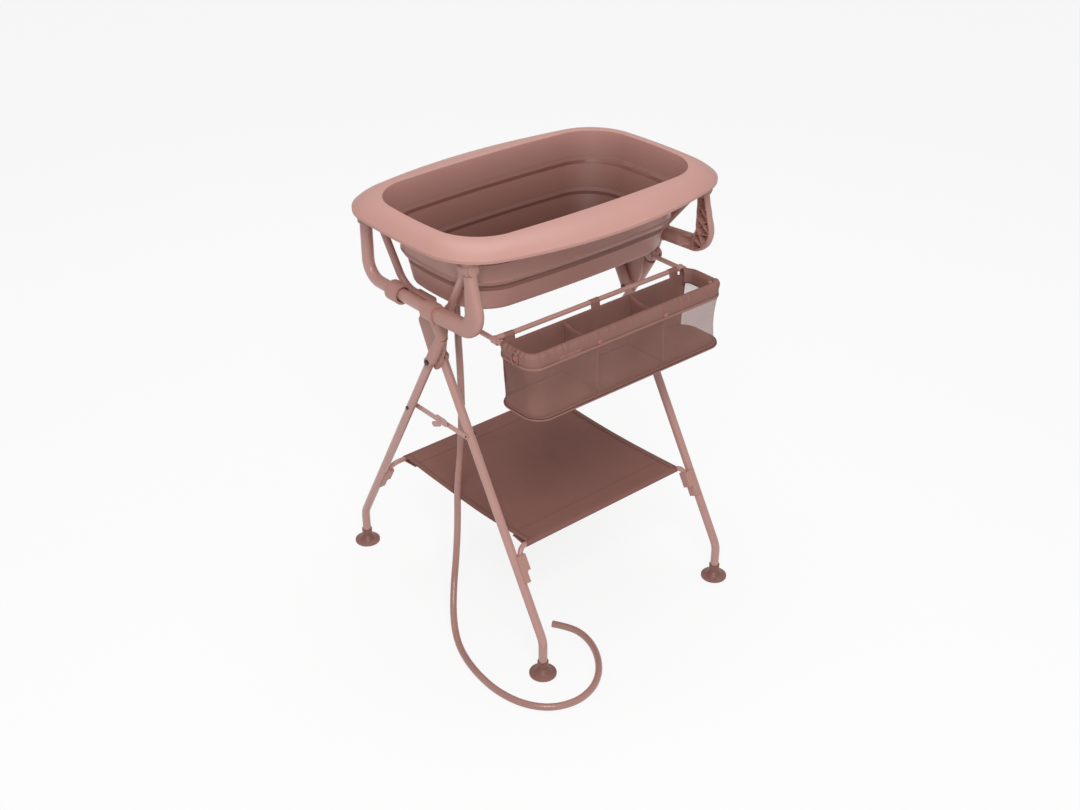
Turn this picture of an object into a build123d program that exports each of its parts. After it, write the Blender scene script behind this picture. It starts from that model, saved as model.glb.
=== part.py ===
"""Baby bathtub with a folding stand, in millimetres.

A collapsible tub hangs by its rim in two fat U-shaped tubes. Moulded hubs hold those tubes on a
crossed pair of folding leg frames, which stand on four suction feet. A cloth shelf hangs between
the leg frames, a fabric basket hangs in front of the tub, and a drain hose runs to the floor.
The origin is on the floor in the middle of the four feet. +X is to the right along the tub,
-Y is the front, where the basket hangs, and +Z is up.
"""

import os
from math import cos, degrees, radians, sin, tan

from build123d import *

os.makedirs("parts", exist_ok=True)

LEFT = -1
SIDES = (LEFT, 1)

# Tub, all its shells together
tub_length = 776.0
tub_width = 552.0
rim_top = 1004.0
tub_depth = 189.0
flange_end_reach = 53.0
flange_side_reach = 85.0
flange_drop = 24.0
flange_curve_share = 2.1
crest_share = 0.01
crest_round = 1.8
lip_height = 6.0
lip_corner = 130.0
tub_wall = 3.0
mouth_corner = 108.0
tub_taper_end = 50.0
tub_taper_side = 46.0
tub_corner_taper = 14.0
mouth_side_bow_share = 0.078
mouth_end_bow_share = 0.045
lip_side_bow_share = 0.26
lip_end_bow_share = 0.035
tub_level_shares = (0.0, 0.296, 0.386, 0.656, 0.741, 1.0)
end_taper_shares = (0.0, 0.2, 0.46, 0.7, 0.86, 1.0)
side_taper_shares = (0.0, 0.22, 0.39, 0.61, 0.76, 1.0)
middle_wall = 3.0
middle_lip_height = 9.0
middle_lip_reach = 3.0
band_wall = 2.4
band_gather = 4.0
base_round = 11.0
base_floor = 4.0

# Drain
drain_inset = 166.0
drain_y = 12.0
drain_bore = 30.0
drain_flange = 46.0
drain_flange_height = 2.5
drain_nut = 40.0
drain_nut_height = 9.0
drain_spigot = 21.5
drain_spigot_length = 24.0
drain_spigot_grip = 8.0
plug_head = 34.0
plug_head_height = 3.0
plug_stem = 26.0
plug_knob = 12.0
plug_knob_height = 12.0

# Drain hose: the route of its centre line is given from under the drain, along X and Y in
# millimetres, with its height as a share of the drain's, down to the cut end on the floor
hose_diameter = 16.0
hose_wall = 2.0
hose_route_shares = [
    (0, 0, 1), (0, 0, 0.885), (4, 0, 0.77), (2, -3, 0.642), (-6, -6, 0.514), (-23, -10, 0.393),
    (-29, -15, 0.277), (-45, -27, 0.175), (-78, -56, 0.092), (-113, -98, 0.032), (-140, -147, 0.001),
    (-162, -208, 0), (-174, -274, 0), (-175, -342, 0), (-158, -406, 0), (-122, -453, 0), (-68, -475, 0),
    (-14, -469, 0), (32, -442, 0), (67, -402, 0), (90, -356, 0), (98, -310, 0), (88, -272, 0),
    (68, -241, 0),
]

# Stand
leg_tube = 20.0
leg_wall = 1.5
pivot_below_rim = 338.0
leg_bend_height = 90.0
leg_bend_radius = 55.0
foot_spacing_y = 676.0
rear_leg_top_inset = 83.0
rear_leg_toe_in = 18.0
front_leg_top_inset = 114.0
front_leg_toe_out = 2.0
leg_end_height = 16.0
head_eye = 22.0
head_eye_width = 20.4
head_neck = 22.0
head_plug_length = 32.0
pivot_bolt = 7.0
pivot_hole_play = 0.08
bolt_head = 12.0
bolt_head_height = 3.5
running_gap = 0.3

# Suction feet
foot_diameter = 62.0
foot_neck = 25.0
foot_neck_top = 36.0
foot_bell_top = 18.0
foot_edge_height = 4.0
foot_hollow_height = 8.0
foot_sole_width = 4.0

# Hubs: the moulding of each end, with two collars, the pivot plate and the tube sockets
bar_inset = 60.0
bar_below_tub = 6.0
bar_tube = 27.0
bar_wall = 2.0
bar_back_inset = 93.0
bar_bend_radius = 42.0
bar_below_rim = 49.0
hub_plate = 8.4
hub_boss = 34.0
hub_web_drop = 16.0
hub_web = 18.0
snug_collar_front = -64.0
snug_collar_back = -28.0
snug_collar = 41.0
loose_collar_front = 58.0
loose_collar_back = 94.0
loose_collar = 45.0
loose_collar_play = 3.5
collar_fit = 0.1
socket_wall = 3.0
socket_length = 46.0
sleeve_share = 0.57
sleeve_wall = 3.2
bridge_thick = 8.0
bridge_height = 18.0
strut_tube = 17.0
strut_wall = 1.5
strut_foot_inset = 101.0
strut_bend = 48.0
back_strut_foot_y = 13.0
back_strut_below_bar = 11.0
back_strut_corner_side_inset = 168.0
back_strut_top_inset = 78.0
back_strut_top_side_inset = 116.0
back_strut_below_rim = 58.0
front_strut_foot_setback = 47.0
front_strut_below_bar = 34.0
front_strut_top_inset = 62.0
front_strut_top_side_inset = 116.0
front_strut_below_rim = 62.0
hinge_pin = 16.0
hinge_y = -82.0
hinge_below_tub = 40.0
hinge_inset = 97.0
hinge_pin_head = 21.0
hinge_pin_head_height = 3.0
hinge_ear = 26.0
hinge_ear_width = 15.0

# Sockets under the rim
rim_socket_wall = 4.0
rim_socket_depth = 18.0

# Elbow arms, rim brackets and release buttons
arm_depth = 24.0
arm_wall = 2.6
arm_collar = 34.0
arm_collar_length = 34.0
arm_collar_start = -65.0
arm_tube_end = -97.0
arm_beam_below_bar = 15.0
arm_beam_above_bar = 22.0
arm_side_inset = 61.0
arm_foot_width = 54.0
arm_top_setback = 26.0
arm_top_width = 23.0
arm_below_button = 12.0
arm_corner_round = 30.0
arm_elbow_round = 22.0
arm_edge_round = 6.0
arm_rib = 1.6
arm_rib_pitch = 27.0
arm_rib_setback = 5.0
bracket_width = 28.0
bracket_setback = 1.0
bracket_depth = 32.0
knuckle = 33.0
knuckle_reach = 1.0
button_diameter = 28.0
button_below_rim = 51.0
button_thick = 12.0
button_travel = 4.0
button_play = 0.3
button_crown = 1.0

# Folding braces
brace_below_pivot = 156.0
brace_strip = 1.6
brace_width = 13.0
brace_gap = 0.4
brace_pin = 6.0
brace_pin_head = 9.0
brace_pin_head_height = 2.0
latch_length = 44.0
latch_width = 19.0
latch_tab = 13.0

# Shelf
shelf_rail = 12.0
shelf_rail_height = 276.0
shelf_rail_bend = 25.0
shelf_rail_offset = 17.6
shelf_rail_drop = 50.0
shelf_end_gap = 40.0
shelf_cloth = 1.6
shelf_sleeve_gap = 0.4
shelf_sag = 9.0
rail_bracket_top_drop = 14.0
rail_bracket_step_drop = 46.0
rail_bracket_bottom_drop = 68.0
rail_bracket_width = 25.0
rail_bracket_thick = 16.6
rail_bracket_step_thick = 7.0

# Basket
basket_tube = 11.0
basket_arm_inset = 120.0
basket_reach = 211.0
basket_frame_bend = 34.0
basket_rail_reach = 98.0
basket_eye_width = 12.0
basket_eye_wall = 5.0
basket_eye_play = 0.15
basket_end_reach = 13.0
basket_rail_rise = 4.0
clip_reach = 8.0
basket_back_setback = 8.0
basket_front_fold = 10.0
basket_front_lean = 5.0
basket_end_taper = 10.0
basket_corner = 34.0
basket_top_rise = 11.0
basket_band_height = 34.0
basket_height = 143.0
basket_wall = 1.6
band_fold = 21.0
band_back_fold = 4.0
divider_share = 0.345
divider_top_drop = 18.0
board_thick = 6.0
board_end_reach = 6.0
board_back_reach = 4.0
board_front_reach = 10.0
board_corner = 44.0
snap_diameter = 11.0
snap_thick = 2.0
snap_drop = 23.0
patch_length = 56.0
patch_height = 14.0
patch_thick = 1.4
patch_share = -0.626
loop_width = 26.0
loop_cloth = 1.6
loop_share = 0.84

overrun = 5.0

# Places worked out from the sizes
half_length = tub_length / 2
half_width = tub_width / 2
mouth_half_length = half_length - flange_end_reach
mouth_half_width = half_width - flange_side_reach
drain_x = drain_inset - half_length
foot_y = foot_spacing_y / 2
leg_pivot_height = rim_top - pivot_below_rim
leg_slope = foot_y / (leg_pivot_height - leg_bend_height)
rear_leg_top_x = half_length - rear_leg_top_inset
rear_leg_foot_x = rear_leg_top_x - rear_leg_toe_in
front_leg_top_x = half_length - front_leg_top_inset
front_leg_foot_x = front_leg_top_x + front_leg_toe_out
_, upper_wall_share, upper_band_share, middle_ring_share, lower_band_share, _ = tub_level_shares
tub_bottom = rim_top - tub_depth
bar_x = half_length - bar_inset
bar_height = tub_bottom - bar_below_tub
bar_half_width = half_width - bar_back_inset
bar_top = rim_top - bar_below_rim
sleeve_length = sleeve_share * (bar_height - leg_pivot_height)
hinge_height = tub_bottom - hinge_below_tub
hinge_half = half_length - hinge_inset
back_strut_foot = (half_length - strut_foot_inset, back_strut_foot_y, bar_height - back_strut_below_bar)
back_strut_corner = (half_length - strut_foot_inset, half_width - back_strut_corner_side_inset,
                     bar_height - back_strut_below_bar)
back_strut_top = (half_length - back_strut_top_inset, half_width - back_strut_top_side_inset,
                  rim_top - back_strut_below_rim)
front_strut_foot = (half_length - strut_foot_inset, hinge_y + front_strut_foot_setback,
                    bar_height - front_strut_below_bar)
front_strut_top = (half_length - front_strut_top_inset, front_strut_top_side_inset - half_width,
                   rim_top - front_strut_below_rim)
button_height = rim_top - button_below_rim
arm_bottom = bar_height - arm_beam_below_bar
arm_beam_top = bar_height + arm_beam_above_bar
arm_outer_y = arm_side_inset - half_width
arm_inner_y = arm_outer_y + arm_foot_width
arm_top = button_height - arm_below_button
arm_top_outer_y = arm_outer_y + arm_top_setback
arm_top_inner_y = arm_top_outer_y + arm_top_width
bracket_front = arm_top_outer_y + bracket_setback
bracket_back = bracket_front + bracket_depth
knuckle_front = arm_top_outer_y - knuckle_reach
brace_height = leg_pivot_height - brace_below_pivot
shelf_rail_end = shelf_rail_height - shelf_rail_drop
shelf_length = 2 * (front_leg_top_x - shelf_end_gap)
rail_bracket_top = shelf_rail_height - rail_bracket_top_drop
rail_bracket_step = shelf_rail_height - rail_bracket_step_drop
rail_bracket_bottom = shelf_rail_height - rail_bracket_bottom_drop
basket_arm_x = half_length - basket_arm_inset
basket_front_y = hinge_y - basket_reach
basket_rail_y = hinge_y - basket_rail_reach
basket_rail_height = hinge_height + basket_rail_rise
basket_half_length = basket_arm_x + basket_end_reach
basket_back_y = basket_rail_y - basket_back_setback
basket_top_front_y = basket_front_y - basket_front_fold
basket_bottom_front_y = basket_top_front_y - basket_front_lean
basket_top = hinge_height + basket_top_rise
basket_band_bottom = basket_top - basket_band_height
basket_bottom = basket_top - basket_height
divider_x = basket_half_length * divider_share
divider_top = basket_top - divider_top_drop
board_half_length = basket_half_length - basket_end_taper + board_end_reach
board_back_y = basket_back_y + board_back_reach
board_front_y = basket_bottom_front_y - board_front_reach
snap_height = basket_top - snap_drop
patch_x = basket_half_length * patch_share
loop_spacing = basket_half_length * loop_share


def level(share):
    """Height of a level of the tub, as a share of its depth."""
    return rim_top - tub_depth * share


def rounded_outline(z, length, width, corner, lip_share=0.0):
    """Level outline from its half length and half width, bowed as the mouth is or as the lip is."""
    end_bow_share = mouth_end_bow_share + (lip_end_bow_share - mouth_end_bow_share) * lip_share
    side_bow_share = mouth_side_bow_share + (lip_side_bow_share - mouth_side_bow_share) * lip_share
    end_x = length * (1 - end_bow_share)
    side_y = width * (1 - side_bow_share)
    with BuildSketch(Plane.XY.offset(z)) as outline:
        with BuildLine():
            ThreePointArc((-end_x, -side_y), (0, -width), (end_x, -side_y))
            ThreePointArc((end_x, -side_y), (length, 0), (end_x, side_y))
            ThreePointArc((end_x, side_y), (0, width), (-end_x, side_y))
            ThreePointArc((-end_x, side_y), (-length, 0), (-end_x, -side_y))
        make_face()
        fillet(outline.vertices(), corner)
    return outline.sketch


def taper_at(share, tapers):
    """Taper of the tub's wall at a share of its depth, read between its levels."""
    levels = list(zip(tub_level_shares, tapers))
    for (low, taper_low), (high, taper_high) in zip(levels, levels[1:]):
        if share <= high:
            break
    return taper_low + (taper_high - taper_low) * (share - low) / (high - low)


def wall_outline(share, inset=0.0, z=None):
    """Outline of the tub's wall at a share of its depth, drawn in by an inset."""
    length = mouth_half_length + tub_wall - tub_taper_end * taper_at(share, end_taper_shares) - inset
    width = mouth_half_width + tub_wall - tub_taper_side * taper_at(share, side_taper_shares) - inset
    corner = mouth_corner + tub_wall - tub_corner_taper * share - inset
    return rounded_outline(level(share) if z is None else z, length, width, corner)


def flange_outline(share, inset=0.0):
    """Outline of the rim's flange at a share of its reach, drawn in and down by an inset."""
    length = mouth_half_length + tub_wall + (flange_end_reach - tub_wall) * share - inset
    width = mouth_half_width + tub_wall + (flange_side_reach - tub_wall) * share - inset
    corner = mouth_corner + tub_wall + (lip_corner - mouth_corner - tub_wall) * share - inset
    z = rim_top - flange_drop * share ** flange_curve_share - inset
    return rounded_outline(z, length, width, corner, share)


def rod(start, end, diameter, mode=Mode.ADD):
    """Round bar between two points, added to or cut from the open part."""
    axis = Vector(*end) - Vector(*start)
    with BuildSketch(Plane(origin=start, z_dir=axis)) as disc:
        Circle(diameter / 2)
    extrude(disc.sketch, amount=axis.length, mode=mode)


def bent_tube(points, bend, diameter, wall, mode=Mode.ADD):
    """Tube along straight runs joined by tangent arcs, solid where its wall is zero."""
    with BuildLine() as route:
        if len(points) > 2:
            FilletPolyline(*points, radius=bend)
        else:
            Line(*points)
    with BuildSketch(Plane(origin=route.line @ 0, z_dir=route.line % 0)) as ring:
        Circle(diameter / 2)
        if wall:
            Circle(diameter / 2 - wall, mode=Mode.SUBTRACT)
    sweep(ring.sketch, path=route.line, mode=mode)


def toward(start, end, distance):
    """Point at a distance from the start, on the line to the end."""
    start, end = Vector(*start), Vector(*end)
    point = start + (end - start).normalized() * distance
    return (point.X, point.Y, point.Z)


def save(piece, name):
    """Label a finished piece and write its file."""
    piece.part.label = name
    export_step(piece.part, f"parts/{name}.step")


def save_pair(left_piece, name):
    """Save a finished left piece, and its mirror image for the right end."""
    save(left_piece, f"{name}_left")
    with BuildPart() as right_piece:
        mirror(left_piece.part, about=Plane.YZ)
    save(right_piece, f"{name}_right")


# Space under the flange: the rim is hollow here, and the sockets and brackets fill up to it
flange_shares = (1.0, 0.8, 0.55, 0.25)
underside = [flange_outline(share, tub_wall) for share in flange_shares]
rim_wall = [wall_outline(upper_wall_share), wall_outline(crest_share)]
with BuildPart() as flange_space:
    loft([rounded_outline(level(middle_ring_share), half_length - tub_wall, half_width - tub_wall,
                          lip_corner - tub_wall, 1), underside[0]], ruled=True)
    loft(underside)
    loft(rim_wall, ruled=True, mode=Mode.SUBTRACT)

# Rim: the wide sloping flange, its lip and the upper wall of the tub, one moulding
with BuildPart() as tub_rim:
    lip_bottom = rim_top - flange_drop - lip_height
    loft([rounded_outline(lip_bottom, half_length, half_width, lip_corner, 1), flange_outline(1)], ruled=True)
    loft([flange_outline(share) for share in flange_shares + (0.0,)])
    loft([rounded_outline(lip_bottom, half_length - tub_wall, half_width - tub_wall, lip_corner - tub_wall, 1),
          underside[0]], ruled=True, mode=Mode.SUBTRACT)
    loft(underside, mode=Mode.SUBTRACT)
    loft(rim_wall, ruled=True)
    loft([wall_outline(upper_wall_share, tub_wall, z=level(upper_wall_share + crest_share)),
          wall_outline(-crest_share, tub_wall)], ruled=True, mode=Mode.SUBTRACT)
    crest = tub_rim.faces().filter_by(Plane.XY).sort_by(Axis.Z)[-1]
    fillet(crest.inner_wires().edges(), crest_round)
save(tub_rim, "tub_rim")


def band(top_share, bottom_share):
    """Soft wall between two levels, gathered inwards at mid height, in the open part."""
    middle_share = (top_share + bottom_share) / 2
    shares = (top_share, middle_share, bottom_share)
    for wall, mode in ((0.0, Mode.ADD), (band_wall, Mode.SUBTRACT)):
        gathers = (0.0, band_gather, 0.0)
        loft([wall_outline(share, gather + wall) for share, gather in zip(shares, gathers)],
             ruled=True, mode=mode)


# Upper soft band, which folds as the tub collapses
with BuildPart() as soft_band_upper:
    band(upper_wall_share, upper_band_share)
save(soft_band_upper, "soft_band_upper")

# Middle ring of the tub wall, stiff, with a lip round its lower edge
with BuildPart() as tub_middle_ring:
    lip_share = middle_ring_share - middle_lip_height / tub_depth
    loft([wall_outline(middle_ring_share), wall_outline(lip_share, -middle_lip_reach),
          wall_outline(lip_share - middle_lip_height / 2 / tub_depth), wall_outline(upper_band_share)],
         ruled=True)
    loft([wall_outline(middle_ring_share, middle_wall), wall_outline(upper_band_share, middle_wall)],
         ruled=True, mode=Mode.SUBTRACT)
save(tub_middle_ring, "tub_middle_ring")

# Lower soft band
with BuildPart() as soft_band_lower:
    band(middle_ring_share, lower_band_share)
save(soft_band_lower, "soft_band_lower")

# Base of the tub, a stiff tray with the drain hole near its left end
with BuildPart() as tub_base:
    loft([wall_outline(1.0), wall_outline(lower_band_share)], ruled=True)
    fillet(tub_base.edges().group_by(Axis.Z)[0], base_round)
    loft([wall_outline(1.0, tub_wall + base_round / 3, z=level(1.0) + base_floor),
          wall_outline(lower_band_share, tub_wall)], ruled=True, mode=Mode.SUBTRACT)
    with Locations((drain_x, drain_y, level(1.0) + base_floor)):
        Hole(drain_bore / 2)
save(tub_base, "tub_base")

# Drain fitting: flange in the tub, nut under it and a spigot that holds the hose
drain_floor = tub_bottom + base_floor
nut_bottom = tub_bottom - drain_nut_height
spigot_end = nut_bottom - drain_spigot_length
hose_start = spigot_end + drain_spigot_grip
with BuildPart() as drain_fitting:
    rod((drain_x, drain_y, drain_floor), (drain_x, drain_y, drain_floor + drain_flange_height), drain_flange)
    rod((drain_x, drain_y, nut_bottom), (drain_x, drain_y, drain_floor), drain_bore - 2 * collar_fit)
    with BuildSketch(Plane.XY.offset(nut_bottom)):
        with Locations((drain_x, drain_y)):
            RegularPolygon(drain_nut / 2, 8)
    extrude(amount=drain_nut_height)
    rod((drain_x, drain_y, spigot_end), (drain_x, drain_y, nut_bottom), drain_spigot)
    rod((drain_x, drain_y, nut_bottom + drain_nut_height / 3),
        (drain_x, drain_y, drain_floor + drain_flange_height), plug_stem, mode=Mode.SUBTRACT)
    rod((drain_x, drain_y, hose_start), (drain_x, drain_y, drain_floor), hose_diameter - 2 * hose_wall,
        mode=Mode.SUBTRACT)
    rod((drain_x, drain_y, spigot_end), (drain_x, drain_y, hose_start), hose_diameter + 2 * collar_fit,
        mode=Mode.SUBTRACT)
save(drain_fitting, "drain_fitting")

# Drain plug, pulled straight up by its knob
with BuildPart() as drain_plug:
    plug_seat = drain_floor + drain_flange_height
    rod((drain_x, drain_y, plug_seat - drain_nut_height / 2), (drain_x, drain_y, plug_seat),
        plug_stem - 2 * running_gap)
    rod((drain_x, drain_y, plug_seat), (drain_x, drain_y, plug_seat + plug_head_height), plug_head)
    rod((drain_x, drain_y, plug_seat), (drain_x, drain_y, plug_seat + plug_knob_height), plug_knob)
    fillet(drain_plug.edges().group_by(Axis.Z)[-1], plug_knob / 6)
save(drain_plug, "drain_plug")


# Drain hose, a soft tube with a cut end on the floor
def hose_bends(points):
    """Bend radius at each inner point, from the shorter run beside it and half the turn."""
    vectors = [Vector(*b) - Vector(*a) for a, b in zip(points, points[1:])]
    radii = []
    for before, after in zip(vectors, vectors[1:]):
        turn = radians(before.get_angle(after))
        radii.append(0.45 * min(before.length, after.length) / tan(turn / 2))
    return radii


hose_rest = hose_diameter / 2
hose_route = [(drain_x + x, drain_y + y, hose_rest + share * (hose_start - hose_rest))
              for x, y, share in hose_route_shares]
hose_radii = hose_bends(hose_route)
with BuildPart() as drain_hose:
    with BuildLine() as hose_line:
        FilletPolyline(*hose_route, radius=hose_radii)
    with BuildSketch(Plane(origin=hose_line.line @ 0, z_dir=hose_line.line % 0)):
        Circle(hose_diameter / 2)
    sweep()
save(drain_hose, "drain_hose")
hose_section = 3.141592653589793 * hose_diameter ** 2 / 4
hose_length = hose_line.wires()[0].length
print("hose length", round(hose_length), "smallest bend", round(min(hose_radii)))
print("hose volume over section times length", drain_hose.part.volume / hose_section / hose_length)


def leg_points(side, front):
    """Pivot, bend and lower end of one leg's centre line."""
    y = -foot_y if front else foot_y
    top_x = front_leg_top_x if front else rear_leg_top_x
    foot_x = front_leg_foot_x if front else rear_leg_foot_x
    pivot = (side * top_x, 0, leg_pivot_height)
    bend = (side * foot_x, y, leg_bend_height)
    end = (side * foot_x, y, leg_end_height)
    return pivot, bend, end


def leg_at(side, front, z):
    """Point of a leg's straight part at a height."""
    pivot, bend, _ = leg_points(side, front)
    share = (pivot[2] - z) / (pivot[2] - bend[2])
    return tuple(a + (b - a) * share for a, b in zip(pivot, bend))


# Legs, their moulded heads at the pivot and the tubes that reach from the pivot up to the rim
for frame, front in (("front", True), ("rear", False)):
    pivot, bend, end = leg_points(LEFT, front)
    pin = leg_at(LEFT, front, brace_height)
    with BuildPart() as leg:
        bent_tube([toward(pivot, bend, head_neck), bend, end], leg_bend_radius, leg_tube, leg_wall)
        rod((pin[0] - leg_tube, pin[1], pin[2]), (pin[0] + leg_tube, pin[1], pin[2]),
            brace_pin + 2 * pivot_hole_play, mode=Mode.SUBTRACT)
    save_pair(leg, f"{frame}_leg")

    with BuildPart() as leg_head:
        rod((pivot[0] - head_eye_width / 2, 0, pivot[2]), (pivot[0] + head_eye_width / 2, 0, pivot[2]),
            head_eye)
        rod(pivot, toward(pivot, bend, head_neck), leg_tube)
        rod(toward(pivot, bend, head_neck), toward(pivot, bend, head_neck + head_plug_length),
            leg_tube - 2 * leg_wall - 2 * pivot_hole_play)
        rod((pivot[0] - leg_tube, 0, pivot[2]), (pivot[0] + leg_tube, 0, pivot[2]),
            pivot_bolt + 2 * pivot_hole_play, mode=Mode.SUBTRACT)
    save_pair(leg_head, f"{frame}_leg_head")

# Suction feet: a neck round the leg's end and a flared bell with a hollow sole
for frame, front in (("front", True), ("rear", False)):
    x, y, _ = leg_points(-1, front)[2]
    with BuildPart() as feet:
        rod((x, y, 0), (x, y, foot_edge_height), foot_diameter)
        with BuildSketch(Plane.XY.offset(foot_edge_height)) as bell_foot:
            with Locations((x, y)):
                Circle(foot_diameter / 2)
        with BuildSketch(Plane.XY.offset(foot_bell_top * 0.45)) as bell_middle:
            with Locations((x, y)):
                Circle(foot_diameter * 0.33)
        with BuildSketch(Plane.XY.offset(foot_bell_top)) as bell_top:
            with Locations((x, y)):
                Circle(foot_neck / 2)
        loft([bell_foot.sketch, bell_middle.sketch, bell_top.sketch], ruled=True)
        rod((x, y, foot_bell_top), (x, y, foot_neck_top), foot_neck)
        with Locations((x, y, foot_hollow_height / 2)):
            Cone(foot_diameter / 2 - foot_sole_width, foot_diameter / 4, foot_hollow_height, mode=Mode.SUBTRACT)
        rod((x, y, leg_end_height), (x, y, foot_neck_top + overrun), leg_tube + 2 * collar_fit, mode=Mode.SUBTRACT)
        mirror(about=Plane.YZ)
    save(feet, f"{frame}_feet")

# Shelf rails, thin tubes whose ends turn down along the legs, and the brackets that clamp them
for frame, front in (("front", True), ("rear", False)):
    ends = []
    for side in (-1, 1):
        low, high = leg_at(side, front, shelf_rail_end), leg_at(side, front, shelf_rail_height)
        ends.append([(low[0] - side * shelf_rail_offset, low[1], low[2]),
                     (high[0] - side * shelf_rail_offset, high[1], high[2])])
    rail_points = [ends[0][0], ends[0][1], ends[1][1], ends[1][0]]
    with BuildPart() as shelf_rail_tube:
        bent_tube(rail_points, shelf_rail_bend, shelf_rail, leg_wall)
    save(shelf_rail_tube, f"{frame}_shelf_rail")

    top, step, bottom = (Vector(*leg_at(LEFT, front, z))
                         for z in (rail_bracket_top, rail_bracket_step, rail_bracket_bottom))
    down = (bottom - top).normalized()
    step_reach = leg_tube / 2 + rail_bracket_thick
    end_reach = leg_tube / 2 + rail_bracket_step_thick
    with BuildPart() as rail_brackets:
        with BuildSketch(Plane(origin=top, x_dir=down, z_dir=down.cross(Vector(1, 0, 0)))):
            Polygon((0, 0), (0, step_reach), ((step - top).length, step_reach), ((step - top).length, end_reach),
                    ((bottom - top).length, end_reach), ((bottom - top).length, 0), align=None)
        extrude(amount=rail_bracket_width / 2, both=True)
        fillet(rail_brackets.edges().filter_by(Axis(top, down)).sort_by(Axis.X)[2:], 2 * leg_wall)
        rod(leg_at(LEFT, front, rail_bracket_top + leg_tube), leg_at(LEFT, front, rail_bracket_bottom - leg_tube),
            leg_tube + 2 * collar_fit, mode=Mode.SUBTRACT)
        mirror(about=Plane.YZ)
        bent_tube(rail_points, shelf_rail_bend, shelf_rail + 2 * collar_fit, 0, mode=Mode.SUBTRACT)
    save(rail_brackets, f"{frame}_rail_brackets")

# Shelf cloth: a sagging sheet with a sewn sleeve round each rail
rail_y = leg_slope * (leg_pivot_height - shelf_rail_height)
sleeve_inner = shelf_rail / 2 + shelf_sleeve_gap
sleeve_outer = sleeve_inner + shelf_cloth
sheet_top = shelf_rail_height + sleeve_outer
with BuildPart() as shelf_sheet:
    with BuildSketch(Plane.YZ.offset(-shelf_length / 2)) as sheet_profile:
        with BuildLine():
            ThreePointArc((-rail_y, sheet_top), (0, sheet_top - shelf_sag), (rail_y, sheet_top))
            Line((rail_y, sheet_top), (rail_y, sheet_top - shelf_cloth))
            ThreePointArc((rail_y, sheet_top - shelf_cloth), (0, sheet_top - shelf_cloth - shelf_sag),
                          (-rail_y, sheet_top - shelf_cloth))
            Line((-rail_y, sheet_top - shelf_cloth), (-rail_y, sheet_top))
        make_face()
        with Locations((-rail_y, shelf_rail_height), (rail_y, shelf_rail_height)):
            Circle(sleeve_outer)
            Circle(sleeve_inner, mode=Mode.SUBTRACT)
    extrude(amount=shelf_length)
save(shelf_sheet, "shelf_cloth")

# Hubs: pivot plate, sleeve and sockets for the tubes, snug collar, loose collar and their bridge
side = LEFT
rear_pivot, rear_bend, _ = leg_points(side, False)
front_pivot, front_bend, _ = leg_points(side, True)
plate_x = side * (rear_leg_top_x + front_leg_top_x) / 2
sleeve_start = toward((side * rear_leg_top_x, 0, leg_pivot_height),
                      (side * rear_leg_top_x, -leg_slope, leg_pivot_height + 1), head_eye / 4)
sleeve_end = toward(sleeve_start, (sleeve_start[0], sleeve_start[1] - leg_slope, sleeve_start[2] + 1),
                    sleeve_length)
rest_start = toward(front_pivot, (front_pivot[0], leg_slope, leg_pivot_height + 1), head_eye / 4)
rest_end = toward(rest_start, (front_pivot[0], rest_start[1] + leg_slope, rest_start[2] + 1), sleeve_length)
back_foot = (side * back_strut_foot[0], back_strut_foot[1], back_strut_foot[2])
back_corner = (side * back_strut_corner[0], back_strut_corner[1], back_strut_corner[2])
back_top = (side * back_strut_top[0], back_strut_top[1], back_strut_top[2])
front_foot_point = (side * front_strut_foot[0], front_strut_foot[1], front_strut_foot[2])
front_top = (side * front_strut_top[0], front_strut_top[1], front_strut_top[2])
socket_diameter = strut_tube + 2 * socket_wall
collar_middle = (snug_collar_front + snug_collar_back) / 2
bar = side * bar_x

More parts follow.
